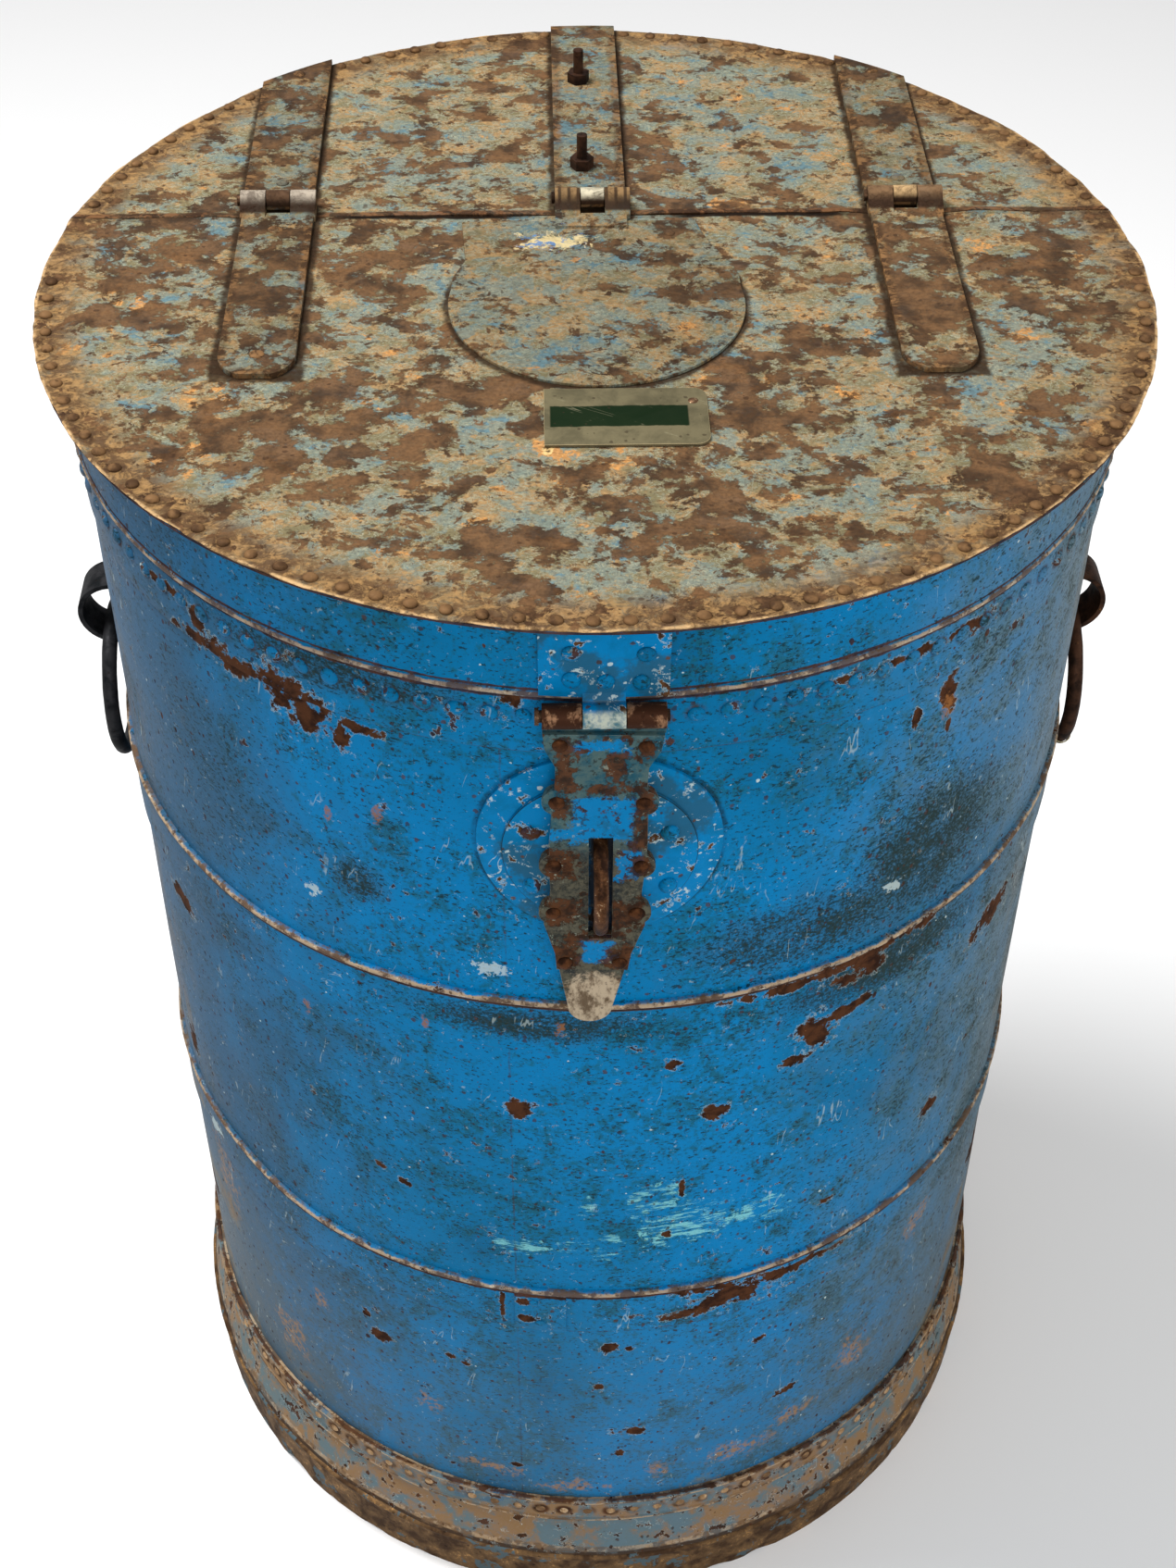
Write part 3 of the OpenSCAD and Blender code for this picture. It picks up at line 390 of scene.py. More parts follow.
cyanPatches = [(6, 452, 16, 20), (11, 474, 34, 18), (-1, 492, 24, 10), (-10, 494, 15, 8), (20, 480, 22, 9),
    (-2, 452, 8, 10)]
palePatches = [(-12.5, 248, 9, 5), (-33, 226, 4, 4), (33, 230, 5, 3), (-62, 560, 9, 5)]
darkPatches = [(22, 238, 60, 24), (38, 215, 46, 42), (33, 290, 60, 18), (-28, 62, 60, 10),
               (-27, 205, 14, 13), (-8, 288, 60, 11)]
tanPatches = [(28, 735, 20, 8), (20, 752, 24, 10), (-24, 700, 9, 9), (-40, 640, 8, 12), (38, 700, 14, 18),
    (-4, 770, 20, 8), (-48, 720, 18, 22), (48, 600, 12, 22), (8, 752, 9, 9), (-15, 756, 22, 7),
    (-62, 610, 16, 40)]


def patchMask(tree, angle, height, ragged, patches, raggedness=2.0, grow=1.0, softness=0.08):
    found = 0.0
    # joined one by one, or the renderer runs out of room for values
    for at, down, halfWide, halfTall in patches:
        mask = useGroup(tree, wallSpot, {
            "Angle": angle, "Height": height, "Ragged": ragged, "At Angle": at, "At Height": drop(down),
            "Half Width": halfWide * mm * grow, "Half Height": halfTall * mm * grow, "Raggedness": raggedness,
            "Softness": softness})["Mask"]
        found = calc(tree, "MAXIMUM", mask, found)
    return found


def bluePaint(name, chips=0.1, grime=0.3, edges=(), lines=(), rows=(), lowWear=0.0, seamAndDiscShade=False,
    patches=True, gloss=0.42, wornTone=None, spans=()):
    look = bluePaintLook

    def near(places):  # only the patches that reach this piece
        return [p for p in places if not spans or any(
            drop(p[1] + 1.5 * p[3] + 4) < high and drop(p[1] - 1.5 * p[3] - 4) > low for low, high in spans)]

    made, tree, shader, place = startMaterial(name)
    wrap = useGroup(tree, wrapRound, {"Position": place})
    angle, height = wrap["Angle"], wrap["Height"]
    cloud = noiseAt(tree, stretched(tree, place, (1, 1, 0.6)), 5.0, 5.0, 0.6, 0.4)
    mottle = noiseAt(tree, place, 36.0, 9.0, 0.7, 0.3)
    blotch = noiseAt(tree, stretched(tree, place, (1, 1, 0.8), (5, 1, 2)), 15.0, 9.0, 0.68, 0.4)
    ragged = noiseAt(tree, place, 75.0, 7.0, 0.72, 0.2)
    fine = noiseAt(tree, place, 230.0, 6.0, 0.7)
    grit = noiseAt(tree, place, 620.0, 4.0, 0.65)

    # paint: brighter and deeper clouds, violet to the left that is painted shade and sheen, teal and grey to
    # the right, the grey partly faded paint and partly painted reflection
    colour = mixColour(tree, ramp(tree, cloud, 0.4, 0.62), look["azure"], look["bright"])
    colour = mixColour(tree, ramp(tree, cloud, 0.46, 0.34, 0, 0.5), colour, look["deep"])
    mixed = plus(tree, times(tree, blotch, 0.25), times(tree, mottle, 0.35))
    mixed = plus(tree, mixed, times(tree, fine, 0.4))
    colour = mixColour(tree, ramp(tree, mixed, 0.48, 0.58, 0, 0.75), colour, look["teal"])
    colour = mixColour(tree, ramp(tree, mottle, 0.42, 0.32, 0, 0.5), colour, look["bright"])
    jitter = sway(tree, blotch, 70)
    fromBack = ramp(tree, absolute(tree, angle), 165, 105)  # both sides fade out before they meet at the back
    leftShadeSheen = ramp(tree, plus(tree, times(tree, angle, -1), jitter), 18, 58)
    leftShadeSheen = times(tree, leftShadeSheen, fromBack)
    rightSide = times(tree, ramp(tree, plus(tree, angle, jitter), 16, 72), fromBack)
    # painted shade and sheen: the left side is mixed to a darker violet
    colour = mixColour(tree, times(tree, leftShadeSheen, 0.85), colour, look["violet"])
    # partly faded paint, partly painted reflection: the right side is mixed to grey
    colour = mixColour(tree, times(tree, rightSide, 0.75), colour, look["grey"])
    # at both limbs a brown that is partly worn paint and partly painted reflection
    aside = ramp(tree, plus(tree, absolute(tree, angle), jitter), 58, 88, 0, 0.55)
    streaks = noiseAt(tree, stretched(tree, place, (1, 1, 0.16)), 60.0, 7.0, 0.7)
    colour = mixColour(tree, times(tree, aside, ramp(tree, streaks, 0.42, 0.56)), colour, look["brown"])

    # grime: a fine dark grain over everything, closing up in rubbed places
    bloom = times(tree, rightSide, 0.05)
    if patches:
        soft = patchMask(tree, angle, height, mottle, near(darkPatches), 4.0, 1.0, 0.6)
        bloom = plus(tree, bloom, times(tree, soft, 0.12))
        colour = mixColour(tree, times(tree, soft, 0.34), colour, look["soot"])
    grain = plus(tree, times(tree, mottle, 0.5), times(tree, grit, 0.5))
    grainLevel = minus(tree, 0.575 - grime * 0.12, bloom)
    grainMask = ramp(tree, grain, grainLevel, plus(tree, grainLevel, 0.12), 0, 0.75)
    colour = mixColour(tree, grainMask, colour, look["grain"])
    dash = noiseAt(tree, stretched(tree, place, (1, 1, 1.9), (6, 2, 3)), 290.0, 4.0, 0.68, 0.3)
    where = plus(tree, times(tree, blotch, 0.5), times(tree, mottle, 0.5))
    dashLevel = minus(tree, 0.73, times(tree, where, 0.3))
    dashLevel = minus(tree, dashLevel, times(tree, bloom, 0.5))
    dashMask = ramp(tree, dash, dashLevel, plus(tree, dashLevel, 0.03), 0, 0.85)
    colour = mixColour(tree, dashMask, colour, look["grain"])
    bloomMask = ramp(tree, plus(tree, grain, bloom), 0.57, 0.7, 0, 0.75)
    colour = mixColour(tree, bloomMask, colour, look["grime"])

    # low on the drum the paint has gone grey and brown
    low = ramp(tree, height, drop(610), drop(850), 0, 0.3)
    bottom = ramp(tree, height, drop(770), drop(810), 0, 0.16)
    flank = ramp(tree, gap(tree, angle, 2.0), 34, 80, 0, 0.34)
    lowDown = ramp(tree, height, drop(380), drop(600))
    wear = plus(tree, times(tree, flank, lowDown), plus(tree, low, bottom))
    wear = plus(tree, wear, lowWear)
    haze = times(tree, ramp(tree, gap(tree, angle, 2.0), 14, 66, 0.4, 0.85),
                ramp(tree, height, drop(470), drop(760)))
    haze = times(tree, haze, ramp(tree, mixed, 0.4, 0.54, 0.5, 1.0))
    colour = mixColour(tree, haze, colour, rgb(84, 98, 106))
    worn = useGroup(tree, paintChips, {"Position": place, "Scale": 20.0, "Rim": 0.05, "Amount": wear})
    greyed = mixColour(tree, ramp(tree, mottle, 0.42, 0.56), look["grey"], wornTone or look["brown"])
    colour = mixColour(tree, times(tree, biggest(tree, worn["Bare"], times(tree, worn["Rim"], 0.5)), 0.85),
        colour, greyed)
    if patches:
        tanned = patchMask(tree, angle, height, ragged, near(tanPatches), 6.0, 0.8, 0.6)
        tanned = times(tree, tanned, ramp(tree, fine, 0.44, 0.56))
        colour = mixColour(tree, times(tree, tanned, 0.75), colour, rgb(156, 118, 80))

    # scratches and white flakes
    white = maskOf(tree, specks, stretched(tree, place, shift=(9, 1, 4)), 150.0, 0.11)
    lineUp = maskOf(tree, thinScratches, stretched(tree, place, turn=(0, 1.45, 0.2)), 70.0, 0.42)
    lineAcross = maskOf(tree, thinScratches, stretched(tree, place, (1, 1, 1), (2, 0, 0), (0, 0.5, 0.9)),
        95.0, 0.3)
    pale = times(tree, biggest(tree, lineUp, lineAcross), 0.5)
    pale = biggest(tree, pale, white, times(tree, ramp(tree, noiseAt(tree, place, 240.0, 5.0, 0.7), 0.63,
                0.7), 0.4))
    if seamAndDiscShade:  # a dark ring round the staple's disc, partly dirt and partly painted shade where the disc meets the wall
        spot = axes(tree, place)
        discLow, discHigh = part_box("staple_plate_outer")
        offX = minus(tree, spot[0], (discLow[0] + discHigh[0]) / 2)
        offZ = minus(tree, height, (discLow[2] + discHigh[2]) / 2)
        reach = root(tree, plus(tree, times(tree, offX, offX), times(tree, offZ, offZ)))
        reach = gap(tree, reach, (discHigh[0] - discLow[0]) / 2 + 0.6 * mm)
        reach = times(tree, ramp(tree, reach, 2.6 * mm, 0.8 * mm), ramp(tree, mottle, 0.4, 0.54, 0.15, 0.65))
        front = ramp(tree, absolute(tree, angle), 60, 50)
        # painted shade and dirt in a ring round the disc
        colour = mixColour(tree, times(tree, reach, front), colour, rgb(16, 34, 38))
    if patches:
        cyan = patchMask(tree, angle, height, ragged, near(cyanPatches), 3.6)
        strokes = []
        for turn in (-0.5, 0.25, 0.95):
            strokes.append(noiseAt(tree, stretched(tree, place, (0.3, 1, 2.6), (turn, 0, 0), (0, turn, 0)),
                    120.0, 8.0, 0.8))
        streak = plus(tree, times(tree, biggest(tree, *strokes), 0.7), times(tree, mottle, 0.3))
        streak = ramp(tree, streak, 0.535, 0.565)
        colour = mixColour(tree, times(tree, times(tree, cyan, streak), 0.85), colour, look["cyan"])
        pale = biggest(tree, pale, times(tree, patchMask(tree, angle, height, fine, near(palePatches), 6.0),
                0.8))
    colour = mixColour(tree, times(tree, pale, 0.8), colour, look["pale"])
    if lines:
        # the palest tone is a painted highlight on the rubbed metal
        tone = mixColour(tree, ramp(tree, fine, 0.56, 0.64), look["metal"], rgb(206, 190, 166))
        tone = mixColour(tree, ramp(tree, ragged, 0.46, 0.56), rgb(96, 74, 54), tone)
    for at, half, strength in lines:  # edges rubbed to pale metal, their palest tone a painted highlight, with a dark band below that is partly rust and partly painted shade
        away = gap(tree, height, at)
        away = plus(tree, away, sway(tree, ragged, half * 2.2))
        line = times(tree, ramp(tree, away, half * 0.95, half * 0.6), strength)
        # partly rust, partly painted shade in the crease under the bead
        under = gap(tree, height, at - half * 1.5)
        under = times(tree, ramp(tree, under, half * 1.0, half * 0.5),
            ramp(tree, ragged, 0.36, 0.5, 0.35, 0.95))
        colour = mixColour(tree, under, colour, rgb(62, 48, 38))
        colour = mixColour(tree, line, colour, tone)

    # bare rusty places
    rust = rustAt(tree, place, 110.0, 0.5, rgb(44, 26, 18), rgb(78, 48, 30), rgb(166, 108, 62))
    flakes = useGroup(tree, paintChips, {"Position": place, "Scale": 85.0, "Amount": 0.2 + chips * 0.3,
            "Rim": 0.014})
    chipDark = maskOf(tree, specks, stretched(tree, place, (1, 1, 0.7)), 105.0, 0.12 + chips * 0.25)
    dust = maskOf(tree, specks, stretched(tree, place, (1, 1, 0.8), (3, 5, 7)), 230.0, 0.34)
    bare = biggest(tree, times(tree, flakes["Bare"], 0.92), times(tree, chipDark, 0.9),
        times(tree, dust, 0.7))
    rim, pitted = flakes["Rim"], bare
    if patches:
        bare = biggest(tree, bare, patchMask(tree, angle, height, ragged, near(rustPatches), 6.0))
        edgeOf = patchMask(tree, angle, height, ragged, near(rustPatches), 6.0, 1.12)
        rim = biggest(tree, rim, minus(tree, edgeOf, bare, True))
    for at, half, amount in edges:  # worn through to rust where a strip ends
        away = gap(tree, height, at)
        away = plus(tree, away, sway(tree, ragged, 9 * mm * amount))
        bare = biggest(tree, bare, times(tree, ramp(tree, away, half * 1.2, half * 0.7), 0.9))
    for at, count, radius, ring, strength in rows:  # dirt round rivets
        across = minus(tree, height, at)
        dirt = useGroup(tree, rivetDirt, {"Angle": angle, "Across": across, "Count": count,
                "Row Radius": radius, "Ring": ring})["Mask"]
        amount = biggest(tree, ramp(tree, mottle, 0.42, 0.62, strength * 0.1, strength),
            times(tree, rightSide, strength))
        bare = biggest(tree, bare, times(tree, dirt, amount))
    if seamAndDiscShade:  # the sheet's own lap, a fine line down the front
        beside = gap(tree, angle, plus(tree, -10.9, times(tree, ragged, 0.5)))
        seamLine = times(tree, ramp(tree, beside, 0.16, 0.05), ramp(tree, mottle, 0.42, 0.58, 0.2, 0.8))
        bare = biggest(tree, bare, times(tree, seamLine, 0.5))
    colour = mixColour(tree, times(tree, rim, 0.4), colour, look["pale"])
    colour = mixColour(tree, bare, colour, rust["Colour"])
    if patches:
        orange = times(tree, patchMask(tree, angle, height, fine, near(orangePatches), 5.0, 0.9, 0.3),
            ramp(tree, grit, 0.36, 0.54))
        colour = mixColour(tree, times(tree, orange, 0.75), colour, rgb(150, 98, 54))

    hidden = attribute(tree, "inside")
    innerTone = mixColour(tree, ramp(tree, mottle, 0.36, 0.6), rgb(58, 42, 32), rgb(104, 74, 52))
    colour = mixColour(tree, times(tree, hidden, 0.92), colour, innerTone)
    rough = ramp(tree, biggest(tree, bare, bloomMask), 0.0, 1.0, gloss, 0.78)
    surface = plus(tree, times(tree, grit, 0.25), times(tree, mottle, 0.4))
    surface = minus(tree, surface, times(tree, pitted, minus(tree, 0.55, times(tree, rust["Height"], 0.5))))
    finishMaterial(tree, shader, colour, rough, surface, 0.55, 0.9 * mm)
    return made


topLook = {
    "brown": rgb(108, 78, 52),
    "dark": rgb(60, 42, 30),
    "olive": rgb(116, 108, 80),
    "tan": rgb(156, 126, 86),
    "vein": rgb(166, 166, 142),
    "blue": rgb(92, 122, 130),
    "slate": rgb(112, 126, 118),
    "ochre": rgb(198, 140, 78),
    "cream": rgb(230, 198, 136),
}


def topPatina(name, brown=0.5, blue=0.5, ochre=0.4, rimBand=True, shift=(0, 0, 0), size=1.4, border=None,
    halos=(), tint=1.0, joint=None, knuckle=rgb(92, 68, 50), hinge=None):
    look = topLook
    made, tree, shader, place = startMaterial(name)
    wrap = useGroup(tree, wrapRound, {"Position": place})
    flat = stretched(tree, place, (0.92 * size, 1.12 * size, 1.0), shift)

    def layer(scale, moved, detail=10.0, rough=0.72, distort=0.35):
        return noiseAt(tree, stretched(tree, flat, (1, 1, 1), moved), scale, detail, rough, distort)

    fleck, patch, thread = layer(46.0, (1, 7, 0)), layer(30.0, (4, 2, 0)), layer(75.0, (2, 5, 0), 9.0, 0.78,
        0.8)
    broad, small = layer(8.0, (0, 0, 0), 5.0, 0.6), layer(26.0, (8, 3, 0), 10.0, 0.7, 0.25)
    grit = noiseAt(tree, flat, 320.0, 5.0, 0.7)
    colour = mixColour(tree, ramp(tree, fleck, 0.42, 0.56), look["olive"], look["tan"])
    slateLevel = 0.56 - 0.1 * blue
    colour = mixColour(tree, ramp(tree, patch, slateLevel, slateLevel + 0.02, 0, 0.8), colour, look["slate"])
    veins = ramp(tree, gap(tree, thread, 0.5), 0.026, 0.008, 0, 0.8)
    colour = mixColour(tree, veins, colour, look["vein"])
    blueShape = plus(tree, times(tree, patch, 0.65), times(tree, thread, 0.35))
    blueLevel = 0.635 - 0.12 * blue
    blueMask = ramp(tree, blueShape, blueLevel, blueLevel + 0.015)
    colour = mixColour(tree, times(tree, blueMask, 0.9), colour, look["blue"])
    ochreShape = plus(tree, times(tree, layer(17.0, (3, 3, 0)), 0.6), times(tree, fleck, 0.4))
    ochreLevel = 0.635 - 0.12 * ochre
    ochreMask = ramp(tree, ochreShape, ochreLevel, ochreLevel + 0.02)
    colour = mixColour(tree, times(tree, ochreMask, 0.85), colour, look["ochre"])
    creamMask = ramp(tree, ochreShape, ochreLevel + 0.05, ochreLevel + 0.065)
    colour = mixColour(tree, times(tree, creamMask, 0.8), colour, look["cream"])

    # rust has eaten through in crumbs and islands, and over most of the rim
    crumbs = ramp(tree, layer(62.0, (5, 8, 0), 9.0, 0.74, 0.5), 0.6 - 0.06 * brown, 0.615 - 0.06 * brown)
    brownShape = plus(tree, times(tree, broad, 0.25), times(tree, small, 0.5))
    brownShape = plus(tree, brownShape, times(tree, fleck, 0.25))
    brownLevel = 0.575 - 0.14 * brown
    if rimBand:
        nearRim = ramp(tree, wrap["Radius"], rimR - 32 * mm, rimR - 12 * mm)
        brownShape = minus(tree, brownShape, times(tree, nearRim, 0.03))
        rimTone = mixColour(tree, ramp(tree, thread, 0.44, 0.56), rgb(92, 68, 46), rgb(150, 116, 74))
        colour = mixColour(tree, times(tree, nearRim, ramp(tree, small, 0.36, 0.5, 0.6, 0.95)), colour,
            rimTone)
    brownMask = ramp(tree, brownShape, brownLevel, brownLevel + 0.012)
    brownEdge = minus(tree, ramp(tree, brownShape, brownLevel - 0.012, brownLevel), brownMask, True)
    rust = rustAt(tree, place, 60.0, 0.2, look["dark"], look["brown"], rgb(146, 108, 70))
    colour = mixColour(tree, times(tree, brownEdge, 0.35), colour, look["dark"])
    colour = mixColour(tree, times(tree, biggest(tree, brownMask, crumbs), 0.94), colour, rust["Colour"])
    bits = maskOf(tree, specks, flat, 170.0, 0.4)
    colour = mixColour(tree, times(tree, bits, 0.65), colour, look["dark"])
    grain = ramp(tree, grit, 0.42, 0.62)
    colour = mixColour(tree, times(tree, grain, 0.34), colour, look["dark"])
    if not rimBand:  # rubbed along its edges
        edge = attribute(tree, "edge")
        colour = mixColour(tree, times(tree, edge, 0.75), colour, mixColour(
            tree, ramp(tree, fleck, 0.5, 0.6), look["dark"], rgb(142, 104, 66)))
    if rimBand:
        across = minus(tree, wrap["Radius"], rimRivetR)
        dirt = useGroup(tree, rivetDirt, {"Angle": wrap["Angle"], "Across": across,
                "Count": float(rivetCount), "Row Radius": rimRivetR, "Ring": 5.0 * mm})["Mask"]
        colour = mixColour(tree, times(tree, dirt, ramp(tree, fleck, 0.4, 0.6, 0.1, 0.5)), colour,
            look["dark"])
        # a pale lip at the rim, partly rubbed metal and partly painted highlight
        lipTone = ramp(tree, wrap["Radius"], rimR - 2.6 * mm, rimR - 1.2 * mm)
        colour = mixColour(tree, times(tree, lipTone, ramp(tree, fleck, 0.46, 0.56)), colour,
            rgb(190, 156, 112))
    if joint:  # a rusty lip along the joint on the rear plate, and on the lid plate a near-black painted shadow where the gap opens
        at, side = joint
        spot = axes(tree, place)
        into = times(tree, minus(tree, at, spot[1]), side)
        into = plus(tree, into, sway(tree, fleck, 4 * mm))
        beside = gap(tree, absolute(tree, spot[0]), 94 * mm)
        if side > 0:
            gape, width, lipTone = ramp(tree, beside, 58 * mm, 40 * mm, 0.25, 1.0), 4.5 * mm, rgb(30, 22, 16)
        else:
            gape, width = 0.9, 5.5 * mm
            lipTone = mixColour(tree, ramp(tree, thread, 0.45, 0.56), rgb(52, 36, 26), rgb(108, 74, 48))
        colour = mixColour(tree, times(tree, ramp(tree, into, width, width * 0.6), gape), colour, lipTone)
    wobble = sway(tree, fleck, 9 * mm)
    for node in halos:  # a dark band just outside whatever lies on the plate
        low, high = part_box(node)
        isRound = node == "centre_plate"
        halfX = (high[0] - low[0]) / 2
        centre = ((low[0] + high[0]) / 2, low[1] + halfX if isRound else (low[1] + high[1]) / 2, 0)
        halo = useGroup(tree, plateHalo, {
            "Position": place, "Centre": centre, "Half X": halfX, "Wobble": wobble,
            "Half Y": halfX if isRound else (high[1] - low[1]) / 2, "Round": 1.0 if isRound else 0.0})
        colour = mixColour(tree, times(tree, halo["Outside"], ramp(tree, small, 0.3, 0.5, 0.6, 0.95)),
            colour, rgb(52, 38, 26))
    if border:
        low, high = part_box(border)
        halo = useGroup(tree, plateHalo, {"Position": place,
                "Centre": ((low[0] + high[0]) / 2, (low[1] + high[1]) / 2, 0),
                "Half X": (high[0] - low[0]) / 2, "Half Y": (high[1] - low[1]) / 2, "Wobble": wobble})
        colour = mixColour(tree, times(tree, halo["Inside"], ramp(tree, small, 0.4, 0.54, 0.35, 0.9)),
            colour, mixColour(tree, ramp(tree, thread, 0.46, 0.56), rgb(64, 46, 32), rgb(130, 96, 62)))
    if hinge or border:
        spot = axes(tree, place)
        # the barrel is painted as if lit: a painted highlight along its crown and painted shade lower down
        barrel = ramp(tree, spot[2], topZ + 3.8 * mm, topZ + 5 * mm)
        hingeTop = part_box(hinge or border)[1][2]
        crownHighlight = ramp(tree, spot[2], hingeTop - 5 * mm, hingeTop - 0.6 * mm)
        crownHighlight = times(tree, crownHighlight, ramp(tree, thread, 0.4, 0.52, 0.35, 1.0))
        if hinge:  # ribs across the barrel as dark breaks in the painted highlight, and one scraped place where the old paint shows
            rib = gap(tree, calc(tree, "FRACT", times(tree, spot[0], 190)), 0.5)
            crownHighlight = times(tree, crownHighlight, ramp(tree, rib, 0.1, 0.24, 0.15, 1.0))
            along = absolute(tree, share(tree, plus(tree, spot[0], 22 * mm), 17 * mm))
            along = calc(tree, "POWER", along, 2)
            back = absolute(tree, share(tree, minus(tree, spot[1], 35 * mm), 9 * mm))
            scrape = root(tree, plus(tree, along, calc(tree, "POWER", back, 2)))
            scrape = plus(tree, scrape, sway(tree, thread, 6.5))
            scrapeTone = mixColour(tree, ramp(tree, fleck, 0.5, 0.54), rgb(226, 204, 150), rgb(88, 134, 184))
            colour = mixColour(tree, ramp(tree, scrape, 0.95, 0.7, 0, 0.8), colour, scrapeTone)
        colour = mixColour(tree, times(tree, barrel, 0.95), colour,
            mixColour(tree, crownHighlight, rgb(54, 38, 28), knuckle))
    if tint != 1.0:
        colour = mixColour(tree, 1.0, colour, (tint, tint, tint), "MULTIPLY")
    hidden = attribute(tree, "inside")
    innerTone = mixColour(tree, ramp(tree, small, 0.36, 0.6), rgb(60, 44, 34), rgb(112, 80, 56))
    colour = mixColour(tree, times(tree, hidden, 0.95), colour, innerTone)
    rough = ramp(tree, brownMask, 0, 1, 0.6, 0.5)
    surface = plus(tree, times(tree, grit, 0.3), times(tree, rust["Height"], 0.35))
    surface = minus(tree, surface, times(tree, brownMask, 0.45))
    surface = plus(tree, surface, times(tree, veins, 0.15))
    finishMaterial(tree, shader, colour, rough, surface, 0.75, 0.9 * mm)
    return made


def rustyIron(name, dark, mid, warm, warmth=0.5, scale=90.0, rough=0.5, metal=0.35, paint=None,
    paintAmount=0.3):
    made, tree, shader, place = startMaterial(name)
    rust = rustAt(tree, place, scale, warmth, dark, mid, warm)
    colour = rust["Colour"]
    if paint:
        left = useGroup(tree, paintChips, {"Position": stretched(tree, place, shift=(3, 3, 3)),
                "Scale": scale * 0.6, "Amount": paintAmount + 0.3})
        colour = mixColour(tree, left["Bare"], colour, paint)
    pits = maskOf(tree, specks, place, scale * 4, 0.35)
    colour = mixColour(tree, times(tree, pits, 0.5), colour, rgb(26, 18, 14))
    surface = minus(tree, rust["Height"], times(tree, pits, 0.3))
    roughness = ramp(tree, rust["Height"], 0.3, 0.7, rough + 0.12, rough - 0.1)
    finishMaterial(tree, shader, colour, roughness, surface, 0.6, 0.7 * mm, metal)
    return made


